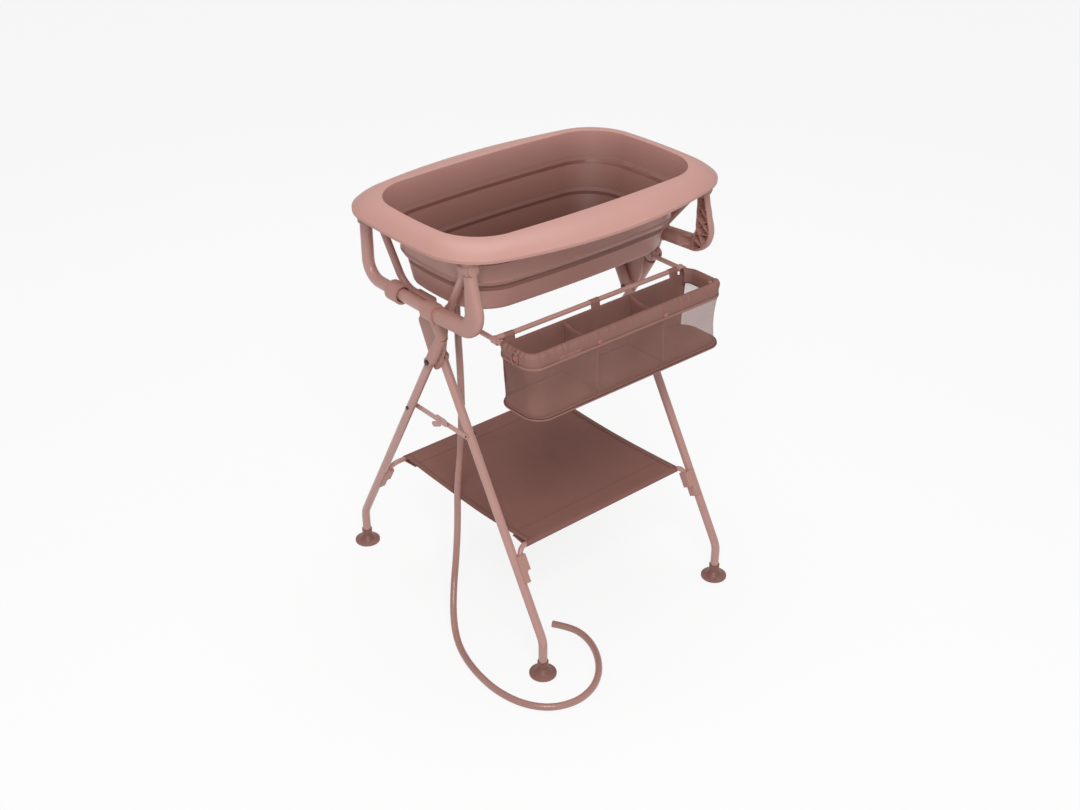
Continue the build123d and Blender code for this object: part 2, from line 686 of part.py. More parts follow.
with BuildPart() as hub:
    with BuildSketch(Plane.YZ.offset(plate_x)) as plate_profile:
        with Locations((0, leg_pivot_height)):
            Circle(hub_boss / 2)
        with Locations((0, leg_pivot_height - hub_web_drop)):
            Circle(hub_web / 2)
        with Locations((sleeve_end[1] / 2, (sleeve_end[2] + leg_pivot_height) / 2),
                       (front_foot_point[1], front_foot_point[2]), (back_foot[1], back_foot[2]),
                       (rest_end[1], rest_end[2])):
            Circle(leg_tube / 2)
        make_hull()
    extrude(amount=hub_plate / 2, both=True)
    rod(sleeve_start, sleeve_end, leg_tube + 2 * sleeve_wall)
    rod(sleeve_end, (bar, collar_middle, bar_height), leg_tube + 2 * socket_wall)
    rod(rest_start, rest_end, leg_tube + 2 * sleeve_wall)
    rod(toward(back_foot, back_corner, -socket_wall), toward(back_foot, back_corner, socket_length), socket_diameter)
    rod(toward(front_foot_point, front_top, -socket_wall), toward(front_foot_point, front_top, socket_length),
        socket_diameter)
    rod((bar, snug_collar_front, bar_height), (bar, snug_collar_back, bar_height), snug_collar)
    rod((bar, loose_collar_front, bar_height), (bar, loose_collar_back, bar_height), loose_collar)
    bridge_x = bar - side * (bar_tube / 2 + loose_collar_play + bridge_thick / 2)
    bridge_length = loose_collar_back - collar_middle
    with BuildSketch(Plane.XZ.offset(-loose_collar_back)) as bridge:
        with Locations((bridge_x, bar_height)):
            RectangleRounded(bridge_thick, bridge_height, bridge_thick / 3)
    extrude(amount=bridge_length)
    rod((side * (hinge_half - hinge_ear_width), hinge_y, hinge_height),
        (side * hinge_half, hinge_y, hinge_height), hinge_ear)
    rod((side * (hinge_half - hinge_ear_width / 2), hinge_y, hinge_height),
        (front_foot_point[0], front_foot_point[1], front_foot_point[2] + hinge_ear_width), hinge_ear_width)
    eye_clear = head_eye_width / 2 + running_gap
    for pivot_x, outward in ((rear_pivot[0], side), (front_pivot[0], -side)):
        rod((pivot_x - outward * eye_clear, 0, leg_pivot_height), (pivot_x + outward * leg_tube, 0, leg_pivot_height),
            head_eye + 2 * running_gap, mode=Mode.SUBTRACT)
    rod((plate_x - side * leg_tube, 0, leg_pivot_height), (plate_x + side * leg_tube, 0, leg_pivot_height),
        pivot_bolt + 2 * pivot_hole_play, mode=Mode.SUBTRACT)
    rod((bar, snug_collar_front - overrun, bar_height), (bar, snug_collar_back + overrun, bar_height),
        bar_tube + 2 * collar_fit, mode=Mode.SUBTRACT)
    rod((bar, loose_collar_front - overrun, bar_height), (bar, loose_collar_back + overrun, bar_height),
        bar_tube + 2 * loose_collar_play, mode=Mode.SUBTRACT)
    rod(back_foot, toward(back_foot, back_corner, socket_length + overrun), strut_tube + 2 * collar_fit,
        mode=Mode.SUBTRACT)
    rod(front_foot_point, toward(front_foot_point, front_top, socket_length + overrun),
        strut_tube + 2 * collar_fit, mode=Mode.SUBTRACT)
    rod((side * (hinge_half - hinge_ear_width - overrun), hinge_y, hinge_height),
        (side * hinge_half, hinge_y, hinge_height), hinge_pin + 2 * collar_fit,
        mode=Mode.SUBTRACT)
save_pair(hub, "hub")

with BuildPart() as back_strut:
    bent_tube([back_foot, back_corner, back_top], strut_bend, strut_tube, strut_wall)
save_pair(back_strut, "back_strut")

with BuildPart() as front_strut:
    bent_tube([front_foot_point, front_top], 0, strut_tube, strut_wall)
save_pair(front_strut, "front_strut")

# Fat U-shaped tube: it comes out of the elbow arm, runs back through both collars and turns up
with BuildPart() as carrier_tube:
    bent_tube([(bar, arm_tube_end, bar_height), (bar, bar_half_width, bar_height),
               (bar, bar_half_width, bar_top)], bar_bend_radius, bar_tube, bar_wall)
save_pair(carrier_tube, "carrier_tube")

# Elbow arm: a moulded shell, open towards the tub, with a lattice of diamond ribs inside
inner_face = bar - side * arm_depth / 2
with BuildSketch(Plane.YZ.offset(inner_face)) as arm_outline:
    with BuildLine():
        Polyline((arm_collar_start, arm_bottom + arm_wall), (arm_outer_y, arm_bottom),
                 (arm_top_outer_y, arm_top), (arm_top_inner_y, arm_top),
                 (arm_inner_y, arm_beam_top), (arm_collar_start, arm_beam_top), close=True)
    make_face()
    fillet(arm_outline.vertices().sort_by_distance((arm_outer_y, arm_bottom))[0], arm_corner_round)
    fillet(arm_outline.vertices().sort_by_distance((arm_inner_y, arm_beam_top))[0], arm_elbow_round)
with BuildSketch(Plane.YZ.offset(inner_face)) as arm_hollow:
    add(arm_outline.sketch_local)
    offset(amount=-arm_wall)
middle_y = (arm_collar_start + arm_outer_y) / 2
middle_z = (arm_bottom + arm_top) / 2
with BuildSketch(Plane.YZ.offset(inner_face + side * arm_rib_setback)) as lattice:
    with Locations(*[(middle_y + step * arm_rib_pitch, middle_z) for step in range(-10, 11)]):
        Rectangle(arm_rib, arm_top - arm_outer_y, rotation=45)
        Rectangle(arm_rib, arm_top - arm_outer_y, rotation=-45)
    add(arm_hollow.sketch_local, mode=Mode.INTERSECT)
with BuildPart() as elbow_arm:
    extrude(arm_outline.sketch, amount=side * arm_depth)
    outer_face = elbow_arm.faces().filter_by(Plane.YZ).sort_by(Axis.X)[0 if side < 0 else -1]
    fillet(outer_face.edges(), arm_edge_round)
    extrude(arm_hollow.sketch, amount=side * (arm_depth - arm_wall), mode=Mode.SUBTRACT)
    extrude(lattice.sketch, amount=side * (arm_depth - arm_wall - arm_rib_setback))
    rod((bar, arm_collar_start, bar_height), (bar, arm_collar_start - arm_collar_length, bar_height), arm_collar)
    rod((bar, arm_collar_start + overrun, bar_height), (bar, arm_tube_end, bar_height),
        bar_tube + 2 * collar_fit, mode=Mode.SUBTRACT)
    rod((bar, arm_outer_y - overrun, button_height), (bar, arm_inner_y + 2 * overrun, button_height),
        knuckle + 2 * collar_fit, mode=Mode.SUBTRACT)
    rod(toward(front_top, front_foot_point, rim_socket_depth + overrun),
        toward(front_top, front_foot_point, -rim_socket_depth),
        strut_tube + 2 * rim_socket_wall + 2 * running_gap, mode=Mode.SUBTRACT)
save_pair(elbow_arm, "elbow_arm")

# Bracket under the rim: the knuckle that the arm's end fits, and the front strut's socket
with BuildPart() as rim_bracket:
    with BuildSketch(Plane.XY.offset(arm_top)):
        with Locations((bar, (bracket_front + bracket_back) / 2)):
            RectangleRounded(bracket_width, bracket_back - bracket_front, arm_edge_round)
    extrude(amount=rim_top - arm_top)
    rod((bar, knuckle_front, button_height), (bar, bracket_back, button_height), knuckle)
    rod(toward(front_top, front_foot_point, rim_socket_depth), toward(front_top, front_foot_point, -rim_top + arm_top),
        strut_tube + 2 * rim_socket_wall)
    add(flange_space.part, mode=Mode.INTERSECT)
    rod((bar, knuckle_front - overrun, button_height),
        (bar, knuckle_front + button_thick + button_travel + running_gap, button_height),
        button_diameter + 2 * button_play, mode=Mode.SUBTRACT)
    rod(toward(front_top, front_foot_point, rim_socket_depth + overrun), front_top,
        strut_tube + 2 * collar_fit, mode=Mode.SUBTRACT)
save_pair(rim_bracket, "rim_bracket")

# Release button, pressed towards the back
with BuildPart() as release_button:
    rod((bar, knuckle_front - button_crown, button_height),
        (bar, knuckle_front + button_thick, button_height), button_diameter)
    chamfer(release_button.faces().sort_by(Axis.Y)[0].edges(), button_crown)
save_pair(release_button, "release_button")

# Brace: two strips that meet under the pivot, hinged on the legs, with a finger latch
rear_pin = leg_at(side, False, brace_height)
front_pin = leg_at(side, True, brace_height)
front_brace_x = abs(front_pin[0]) + leg_tube / 2 + running_gap + brace_strip
rear_brace_x = front_brace_x + brace_gap + brace_strip
for frame, strip_x, pin_y in (("rear", rear_brace_x, rear_pin[1]), ("front", front_brace_x, front_pin[1])):
    with BuildPart() as brace:
        with BuildSketch(Plane.YZ.offset(side * strip_x)):
            with Locations((pin_y / 2, brace_height)):
                SlotCenterToCenter(abs(pin_y), brace_width)
            with Locations((pin_y, brace_height)):
                Circle(brace_pin / 2 + pivot_hole_play, mode=Mode.SUBTRACT)
        extrude(amount=-side * brace_strip)
        if frame == "rear":
            with BuildSketch(Plane.YZ.offset(side * strip_x)):
                with Locations((-latch_length / 6, brace_height + brace_width / 4)):
                    SlotOverall(latch_length, latch_width)
                with Locations((latch_length / 4, brace_height - brace_width)):
                    SlotOverall(latch_length * 0.8, latch_tab, rotation=-25)
            extrude(amount=side * brace_strip)
            rod((side * strip_x, 0, brace_height),
                (side * (strip_x + brace_strip + brace_pin_head_height), 0, brace_height), brace_pin_head)
    save_pair(brace, f"brace_{frame}")

# Brace pins, one through each leg into its strip
for frame, front in (("front", True), ("rear", False)):
    with BuildPart() as brace_pins:
        for side in SIDES:
            x, y, z = leg_at(side, front, brace_height)
            if front:
                tip, head = rear_brace_x - brace_strip - running_gap / 2, abs(x) - leg_tube / 2 - collar_fit
            else:
                tip, head = rear_brace_x - brace_strip, abs(x) + leg_tube / 2 + 2 * collar_fit
            rod((side * tip, y, z), (side * head, y, z), brace_pin)
            outward = side * (1 if not front else -1)
            rod((side * head, y, z), (side * head + outward * brace_pin_head_height, y, z), brace_pin_head)
    save(brace_pins, f"{frame}_brace_pins")

# Pivot bolts, through the rear leg's head, the hub and the front leg's head
with BuildPart() as pivot_bolts:
    for side in SIDES:
        outer = rear_leg_top_x + head_eye_width / 2 + running_gap
        inner = front_leg_top_x - head_eye_width / 2 - running_gap
        rod((side * inner, 0, leg_pivot_height), (side * outer, 0, leg_pivot_height), pivot_bolt)
        for start, step in ((outer, 1), (inner, -1)):
            rod((side * start, 0, leg_pivot_height),
                (side * (start + step * bolt_head_height), 0, leg_pivot_height), bolt_head)
save(pivot_bolts, "pivot_bolts")

# Hinge pins of the basket, each fixed in the ear of a hub
with BuildPart() as basket_pins:
    pin_tip = basket_arm_x - basket_eye_width / 2 - running_gap
    for side in SIDES:
        rod((side * hinge_half, hinge_y, hinge_height), (side * pin_tip, hinge_y, hinge_height), hinge_pin)
        rod((side * pin_tip, hinge_y, hinge_height),
            (side * (pin_tip - hinge_pin_head_height), hinge_y, hinge_height), hinge_pin_head)
save(basket_pins, "basket_pins")

# Sockets under the rim for the tops of the back struts and of the fat tubes
with BuildPart() as rim_sockets:
    seats = []
    for side in SIDES:
        for top, foot, diameter in (
            (back_strut_top, back_strut_corner, strut_tube),
            ((bar_x, bar_half_width, bar_top), (bar_x, bar_half_width, bar_height), bar_tube),
        ):
            seats.append(((side * top[0], top[1], top[2]), (side * foot[0], foot[1], foot[2]), diameter))
    for top, foot, diameter in seats:
        rod(toward(top, foot, rim_socket_depth), toward(top, foot, -rim_socket_depth * 4),
            diameter + 2 * rim_socket_wall)
    add(flange_space.part, mode=Mode.INTERSECT)
    for top, foot, diameter in seats:
        rod(toward(top, foot, rim_socket_depth + overrun), top, diameter + 2 * collar_fit, mode=Mode.SUBTRACT)
save(rim_sockets, "rim_sockets")

# Basket frame: a round tube that swings on the hinge pins, and the rail that the bag hangs from
eye_front = hinge_y - hinge_pin / 2 - basket_eye_wall / 2
with BuildPart() as basket_frame:
    bent_tube([(-basket_arm_x, eye_front, hinge_height), (-basket_arm_x, basket_front_y, hinge_height),
               (basket_arm_x, basket_front_y, hinge_height), (basket_arm_x, eye_front, hinge_height)],
              basket_frame_bend, basket_tube, leg_wall)
    for side in SIDES:
        near, far = basket_arm_x - basket_eye_width / 2, basket_arm_x + basket_eye_width / 2
        rod((side * near, hinge_y, hinge_height), (side * far, hinge_y, hinge_height),
            hinge_pin + 2 * basket_eye_wall)
        rod((side * near, hinge_y, hinge_height), (side * far, hinge_y, hinge_height),
            hinge_pin + 2 * basket_eye_play, mode=Mode.SUBTRACT)
save(basket_frame, "basket_frame")

with BuildPart() as basket_rail:
    rail_half = basket_arm_x - basket_tube / 2
    rod((-rail_half, basket_rail_y, basket_rail_height), (rail_half, basket_rail_y, basket_rail_height), basket_tube)
    clip = basket_tube + socket_wall
    for side in SIDES:
        rod((side * basket_arm_x, basket_rail_y, basket_rail_height),
            (side * (rail_half - basket_tube), basket_rail_y, basket_rail_height), clip)
        rod((side * basket_arm_x, basket_rail_y - clip_reach, hinge_height),
            (side * basket_arm_x, basket_rail_y + clip_reach, hinge_height), clip + socket_wall)
        rod((side * basket_arm_x, basket_rail_y - clip, hinge_height),
            (side * basket_arm_x, basket_rail_y + clip, hinge_height), basket_tube + 2 * collar_fit,
            mode=Mode.SUBTRACT)
save(basket_rail, "basket_rail")


def front_at(z):
    """Y of the bag's front face at a height: it leans out towards the bottom."""
    return basket_top_front_y - basket_front_lean * (basket_top - z) / basket_height


def basket_outline(z, end_inset=0.0, front_inset=0.0, back_inset=0.0):
    """Level outline of the bag at a height, drawn in at its ends, front and back."""
    front = front_at(z) + front_inset
    back = basket_back_y - back_inset
    half = basket_half_length - basket_end_taper * (basket_top - z) / basket_height - end_inset
    corner = max(basket_corner - end_inset, band_fold / 3)
    with BuildSketch(Plane.XY.offset(z)) as outline:
        with Locations((0, (back + front) / 2)):
            RectangleRounded(2 * half, back - front, corner)
    return outline.sketch


# Fabric bag of the basket: solid cloth back, mesh front and ends, open at the top
thin = (basket_wall, basket_wall, basket_wall)
with BuildPart() as basket_bag:
    loft([basket_outline(basket_bottom), basket_outline(basket_band_bottom)], ruled=True)
    loft([basket_outline(basket_bottom + basket_wall, *thin), basket_outline(basket_band_bottom, *thin)],
         ruled=True, mode=Mode.SUBTRACT)
save(basket_bag, "basket_bag")

# Gathered band round the top of the bag, sewn round the frame
folded = (band_fold, band_fold, band_back_fold)
with BuildPart() as basket_band:
    loft([basket_outline(basket_band_bottom), basket_outline(basket_top)], ruled=True)
    fillet(basket_band.edges().group_by(Axis.Z)[-1], band_fold / 4)
    loft([basket_outline(basket_band_bottom, *folded), basket_outline(basket_top, *folded)],
         ruled=True, mode=Mode.SUBTRACT)
    casing_start = basket_back_y + overrun
    bent_tube([(-basket_arm_x, casing_start, hinge_height), (-basket_arm_x, basket_front_y, hinge_height),
               (basket_arm_x, basket_front_y, hinge_height), (basket_arm_x, casing_start, hinge_height)],
              basket_frame_bend, basket_tube + 2 * running_gap, 0, mode=Mode.SUBTRACT)
save(basket_band, "basket_band")

# Two dividers with bound edges, between the bag's front and back
with BuildPart() as basket_dividers:
    play = basket_wall + running_gap
    floor = basket_bottom + play
    with BuildSketch(Plane.YZ.offset(-divider_x)):
        with BuildLine():
            Polyline((basket_back_y - band_back_fold - running_gap, divider_top),
                     (basket_back_y - band_back_fold - running_gap, floor), (front_at(floor) + play, floor),
                     (front_at(basket_band_bottom) + play, basket_band_bottom - running_gap),
                     (front_at(basket_band_bottom) + band_fold + running_gap, basket_band_bottom - running_gap),
                     (front_at(divider_top) + band_fold + running_gap, divider_top), close=True)
        make_face()
    extrude(amount=basket_wall)
    mirror(about=Plane.YZ)
save(basket_dividers, "basket_dividers")

# Stiff board under the bag, edged with piping
with BuildPart() as basket_board:
    with BuildSketch(Plane.XY.offset(basket_bottom)):
        with Locations((0, (board_back_y + board_front_y) / 2)):
            RectangleRounded(2 * board_half_length, board_back_y - board_front_y, board_corner)
    extrude(amount=-board_thick)
    fillet(basket_board.faces().filter_by(Plane.XY).edges(), board_thick * 0.42)
save(basket_board, "basket_board")


def front_plane(x, z):
    """Plane on the bag's front face, facing out."""
    lean = front_at(z) - front_at(z + 1)
    return Plane(origin=(x, front_at(z), z), x_dir=(1, 0, 0), z_dir=(0, -1, -lean))


# Snap studs and the bare rubber patch on the band
with BuildPart() as basket_snaps:
    for side in SIDES:
        with BuildSketch(front_plane(side * divider_x, snap_height)):
            Circle(snap_diameter / 2)
    extrude(amount=snap_thick)
save(basket_snaps, "basket_snaps")

with BuildPart() as basket_patch:
    with BuildSketch(front_plane(patch_x, snap_height - patch_height / 3)):
        RectangleRounded(patch_length, patch_height, patch_height / 6)
    extrude(amount=patch_thick)
save(basket_patch, "basket_patch")

# Fabric loops that hang the bag's back from the rail
with BuildPart() as basket_loops:
    loop_inner = basket_tube / 2 + running_gap
    for middle in (-loop_spacing, 0, loop_spacing):
        with BuildSketch(Plane.YZ.offset(middle - loop_width / 2)):
            with Locations((basket_rail_y, basket_rail_height)):
                Circle(loop_inner + loop_cloth)
            with Locations((basket_back_y + loop_cloth / 2, basket_rail_height - basket_tube)):
                Rectangle(loop_cloth, basket_tube * 2)
            with Locations((basket_rail_y, basket_rail_height)):
                Circle(loop_inner, mode=Mode.SUBTRACT)
        extrude(amount=loop_width)
save(basket_loops, "basket_loops")
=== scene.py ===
"""A collapsible baby bathtub in its folding stand, dressed over its CAD model."""
import math

import bmesh
import bpy
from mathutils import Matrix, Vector, noise


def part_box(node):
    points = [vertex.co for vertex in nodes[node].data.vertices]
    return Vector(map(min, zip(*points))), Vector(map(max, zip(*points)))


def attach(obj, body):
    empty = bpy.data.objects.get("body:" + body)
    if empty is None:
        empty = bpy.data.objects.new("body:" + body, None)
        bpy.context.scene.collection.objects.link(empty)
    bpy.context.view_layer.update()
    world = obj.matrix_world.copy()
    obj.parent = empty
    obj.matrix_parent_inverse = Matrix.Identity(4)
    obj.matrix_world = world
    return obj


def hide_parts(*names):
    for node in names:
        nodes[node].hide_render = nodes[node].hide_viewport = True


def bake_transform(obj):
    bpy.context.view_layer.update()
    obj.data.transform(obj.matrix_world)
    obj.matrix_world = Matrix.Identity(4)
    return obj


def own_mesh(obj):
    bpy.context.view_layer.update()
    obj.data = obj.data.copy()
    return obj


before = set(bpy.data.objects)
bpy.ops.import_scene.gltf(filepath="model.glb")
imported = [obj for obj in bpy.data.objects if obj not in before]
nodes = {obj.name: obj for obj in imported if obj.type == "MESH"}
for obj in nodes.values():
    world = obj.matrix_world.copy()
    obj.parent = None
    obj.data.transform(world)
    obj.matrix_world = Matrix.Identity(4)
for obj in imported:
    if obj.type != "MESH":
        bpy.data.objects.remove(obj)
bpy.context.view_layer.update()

# Camera: the photograph's viewpoint, above the left front corner of the stand and looking down
# on it. Its place, turn and field of view were fitted to the tub's rim and the four feet.
photo_width = 1080
photo_focus = 1393.2
camera_place = Vector((-1.8286, -2.1533, 2.0985))
camera_aim = Vector((0.5587, 0.6569, -0.5062))
camera_data = bpy.data.cameras.new("photo_camera")
camera_data.sensor_width = 36.0
camera_data.lens = 36.0 * photo_focus / photo_width


def put(name, data):
    """A new object in the scene."""
    thing = bpy.data.objects.new(name, data)
    bpy.context.scene.collection.objects.link(thing)
    return thing


camera = put("photo_camera", camera_data)
camera.location = camera_place
camera.rotation_euler = camera_aim.to_track_quat("-Z", "Y").to_euler()
bpy.context.scene.camera = camera


# Painted steel tube: every leg, strut and rail has the same dusty pink powder coat, smooth and
# slightly glossy, with the faint ripple that such a coat keeps.
def tone(red, green, blue):
    """Linear colour of an sRGB value given in 0 to 255."""
    linear = []
    for value in (red, green, blue):
        share = value / 255
        linear.append(share / 12.92 if share <= 0.04045 else ((share + 0.055) / 1.055) ** 2.4)
    return (*linear, 1.0)


def shade(colour, factor):
    """The same colour, darker or lighter by a factor."""
    return (*(min(1.0, value * factor) for value in colour[:3]), 1.0)


class Wire:
    """A socket of a material's tree; sums and products of wires add their Math nodes."""

    def __init__(self, finish, socket):
        self.finish = finish
        self.socket = socket

    def math(self, operation, *values):
        return self.finish.add("ShaderNodeMath", {"operation": operation}, *values)

    def __add__(self, other):
        return self.math("ADD", self, other)

    def __sub__(self, other):
        return self.math("SUBTRACT", self, other)

    def __rsub__(self, other):
        return self.math("SUBTRACT", other, self)

    def __mul__(self, other):
        return self.math("MULTIPLY", self, other)

    def __truediv__(self, other):
        return self.math("DIVIDE", self, other)

    def __lt__(self, other):
        return self.math("LESS_THAN", self, other)

    def __gt__(self, other):
        return self.math("GREATER_THAN", self, other)

    def wave(self):
        """Sine of this value, brought to 0 to 1."""
        return self.math("SINE", self) * 0.5 + 0.5

    def held(self):
        """This value kept between 0 and 1."""
        return self.math("MINIMUM", self.math("MAXIMUM", self, 0.0), 1.0)

    __radd__ = __add__
    __rmul__ = __mul__


class Finish:
    """One material of the object, built up from nodes on its surface shader."""

    def __init__(self, name, colour, roughness, **settings):
        self.material = bpy.data.materials.new(name)
        self.material.use_nodes = True
        self.tree = self.material.node_tree
        self.surface = self.tree.nodes["Principled BSDF"]
        self.set("Base Color", colour)
        self.set("Roughness", roughness)
        for socket, value in settings.items():
            self.set(socket.replace("_", " "), value)

    def set(self, name, value):
        """Gives a socket of the surface shader a value or a wire."""
        socket = self.surface.inputs[name]
        if isinstance(value, Wire):
            self.tree.links.new(value.socket, socket)
        else:
            socket.default_value = value

    def add(self, kind, settings=None, *values, output=0, **named):
        """Adds a node, with its settings first and then the values or wires of its sockets."""
        node = self.tree.nodes.new(kind)
        for key, value in (settings or {}).items():
            setattr(node, key, value)
        for key, value in list(enumerate(values)) + list(named.items()):
            socket = node.inputs[key if isinstance(key, int) else key.replace("_", " ")]
            if isinstance(value, Wire):
                self.tree.links.new(value.socket, socket)
            elif value is not None:
                socket.default_value = value
        return Wire(self, node.outputs[output])

    def place(self, scale=(1.0, 1.0, 1.0), uv=False):
        """Position on the object, or on its own map, stretched by a scale."""
        source = self.add("ShaderNodeTexCoord", output=2 if uv else 3)
        return self.add("ShaderNodeMapping", None, source, Scale=scale)

    def axis(self, index, scale=1.0, uv=False):
        """One coordinate of the place, times a scale."""
        return self.add("ShaderNodeSeparateXYZ", None, self.place((scale,) * 3, uv), output=index)

    def mottle(self, scale, detail=2.0):
        """Soft cloudy noise round 0.5."""
        return self.add("ShaderNodeTexNoise", None, Vector=self.place(), Scale=scale, Detail=detail)

    def blend(self, factor, first, second):
        """Colour between two colours."""
        node = self.tree.nodes.new("ShaderNodeMix")
        node.data_type = "RGBA"
        for index, value in ((0, factor), (6, first), (7, second)):
            if isinstance(value, Wire):
                self.tree.links.new(value.socket, node.inputs[index])
            else:
                node.inputs[index].default_value = value
        return Wire(self, node.outputs[2])

    def cloudy(self, scale, first, second, detail=2.0):
        """Colours the surface in soft clouds between two colours."""
        self.set("Base Color", self.blend(self.mottle(scale, detail), first, second))

    def sheen(self, scale, spread, base):
        """Varies the roughness in soft clouds above a base value."""
        self.set("Roughness", self.mottle(scale) * spread + base)

    def bump(self, height, strength, distance):
        """Feeds a height to the surface's normal."""
        normal = self.add("ShaderNodeBump", None, Height=height, Strength=strength, Distance=distance)
        self.set("Normal", normal)

    def grain(self, scale, detail, strength, distance):
        """Roughens the surface with a fine cloudy height."""
        self.bump(self.mottle(scale, detail), strength, distance)


tube_colour = tone(203, 156, 146)
tube_paint = Finish("tube_paint", tube_colour, 0.34, Coat_Weight=0.2, Coat_Roughness=0.2)
tube_paint.cloudy(14.0, shade(tube_colour, 0.92), shade(tube_colour, 1.04))
tube_paint.sheen(60.0, 0.14, 0.25)
tube_paint.grain(700.0, 3.0, 0.12, 0.0004)


def repaint(finish, *names):
    """Gives CAD nodes a finish in all their material slots."""
    for name in names:
        mesh = nodes[name].data
        if not mesh.materials:
            mesh.materials.append(finish.material)
        for index in range(len(mesh.materials)):
            mesh.materials[index] = finish.material


def both(name):
    """A node's left and right names."""
    return (f"{name}_left", f"{name}_right")


repaint(tube_paint, *both("front_leg"), *both("rear_leg"), *both("carrier_tube"), *both("front_strut"),
        *both("back_strut"), *both("brace_front"), *both("brace_rear"), "basket_pins", "front_shelf_rail",
        "rear_shelf_rail", "basket_frame", "basket_rail")

# Moulded plastic: the hubs, arms, brackets and sockets are satin polypropylene in the same pink, a
# little flatter than the paint, with a fine spark-eroded grain.
plastic_colour = tone(198, 150, 139)
moulded = Finish("moulded_plastic", plastic_colour, 0.46)
moulded.cloudy(9.0, shade(plastic_colour, 0.94), shade(plastic_colour, 1.03))
moulded.sheen(40.0, 0.12, 0.4)
moulded.grain(1500.0, 2.0, 0.1, 0.0003)
repaint(moulded, *both("hub"), *both("rim_bracket"), "rim_sockets", *both("release_button"),
        "front_rail_brackets", "rear_rail_brackets", *both("front_leg_head"), *both("rear_leg_head"))

# Tub: the rim, the middle ring and the base are moulded in one satin plastic. Inside, painted shade
# darkens the walls' colour towards the floor, where the deep tub keeps the light out.
tub_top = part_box("tub_rim")[1][2]
tub_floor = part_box("tub_base")[0][2]
tub_colour = tone(201, 151, 141)
tub_plastic = Finish("tub_plastic", tub_colour, 0.4, Coat_Weight=0.1, Coat_Roughness=0.3)


def tub_depth(finish):
    """How deep a point is in the tub, from 0 at the rim to 1 at the floor."""
    return ((tub_top - finish.axis(2)) / (tub_top - tub_floor)).held()


def tub_inside(finish):
    """1 where the surface faces the middle of the tub or is its floor, and 0 outside."""
    across = finish.place((1.0, 1.0, 0.0))
    normal = finish.add("ShaderNodeNewGeometry", output=1)
    facing = finish.add("ShaderNodeVectorMath", {"operation": "DOT_PRODUCT"}, across, normal, output=1)
    return facing < 0.004


# Painted shade: on faces turned to the tub's middle, the colour darkens with depth to a shaded brown at the
# floor.
plastic_depth = tub_depth(tub_plastic)
painted_inner_shade = tub_inside(tub_plastic) * plastic_depth.math("POWER", plastic_depth, 0.6)
tub_outer = tub_plastic.blend(tub_plastic.mottle(7.0), shade(tub_colour, 0.95), shade(tub_colour, 1.03))
tub_plastic.set("Base Color", tub_plastic.blend(painted_inner_shade, tub_outer, tone(112, 74, 66)))
tub_plastic.sheen(30.0, 0.1, 0.36)
tub_plastic.grain(1300.0, 2.0, 0.08, 0.0003)
repaint(tub_plastic, "tub_rim", "tub_middle_ring", "tub_base", "drain_fitting")

# Rubber: the folding bands of the tub, the drain plug and the suction feet are a darker, softer
# elastomer than the plastic, and the feet pick up a little dust at the sole.
rubber_colour = tone(150, 103, 93)
rubber = Finish("band_rubber", rubber_colour, 0.5)
# Painted shade: on faces turned to the tub's middle, the rubber's colour darkens with depth towards the
# floor.
rubber_painted_shade = tub_inside(rubber) * tub_depth(rubber)
rubber.set("Base Color", rubber.blend(rubber_painted_shade, rubber_colour, tone(98, 63, 56)))
rubber.sheen(50.0, 0.15, 0.42)
rubber.grain(900.0, 2.0, 0.15, 0.0004)
repaint(rubber, "soft_band_upper", "soft_band_lower", "drain_plug")

foot_colour = tone(142, 96, 87)
foot_rubber = Finish("foot_rubber", foot_colour, 0.42)
sole_dust = (1.0 - foot_rubber.axis(2) / 0.012).held() * foot_rubber.mottle(120.0, 3.0)
foot_rubber.set("Base Color", foot_rubber.blend(sole_dust, foot_colour, tone(170, 132, 122)))
foot_rubber.sheen(80.0, 0.2, 0.32)
foot_rubber.grain(800.0, 2.0, 0.12, 0.0004)
repaint(foot_rubber, "front_feet", "rear_feet")

# Steel fasteners: the pivot bolts and brace pins are small dark pieces of plated steel, whose
# colour and sheen vary a little from spot to spot.
steel = Finish("dark_steel", tone(76, 68, 66), 0.35, Metallic=0.9)
steel.cloudy(160.0, tone(58, 51, 50), tone(98, 89, 86), 3.0)
steel.sheen(240.0, 0.3, 0.2)
repaint(steel, "pivot_bolts", "front_brace_pins", "rear_brace_pins")

# Screws: a dark cross-head screw sits in the front of each front leg's moulded eye, and another
# holds each hinge pin of the basket in its hub.
eye_radius = 0.0108
eye_screw_aside = 0.004
eye_screw_lift = 0.003
ear_over_pin = 0.0025
ear_inset = 0.008
pivot_place = [(low + high) / 2 for low, high in zip(*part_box("pivot_bolts"))]
screw_head = 0.0036
screw_height = 0.0016


def baked(thing):
    """Plain mesh of an object as its modifiers or its curve shape it."""
    bpy.context.view_layer.update()
    return bpy.data.meshes.new_from_object(thing.evaluated_get(bpy.context.evaluated_depsgraph_get()))


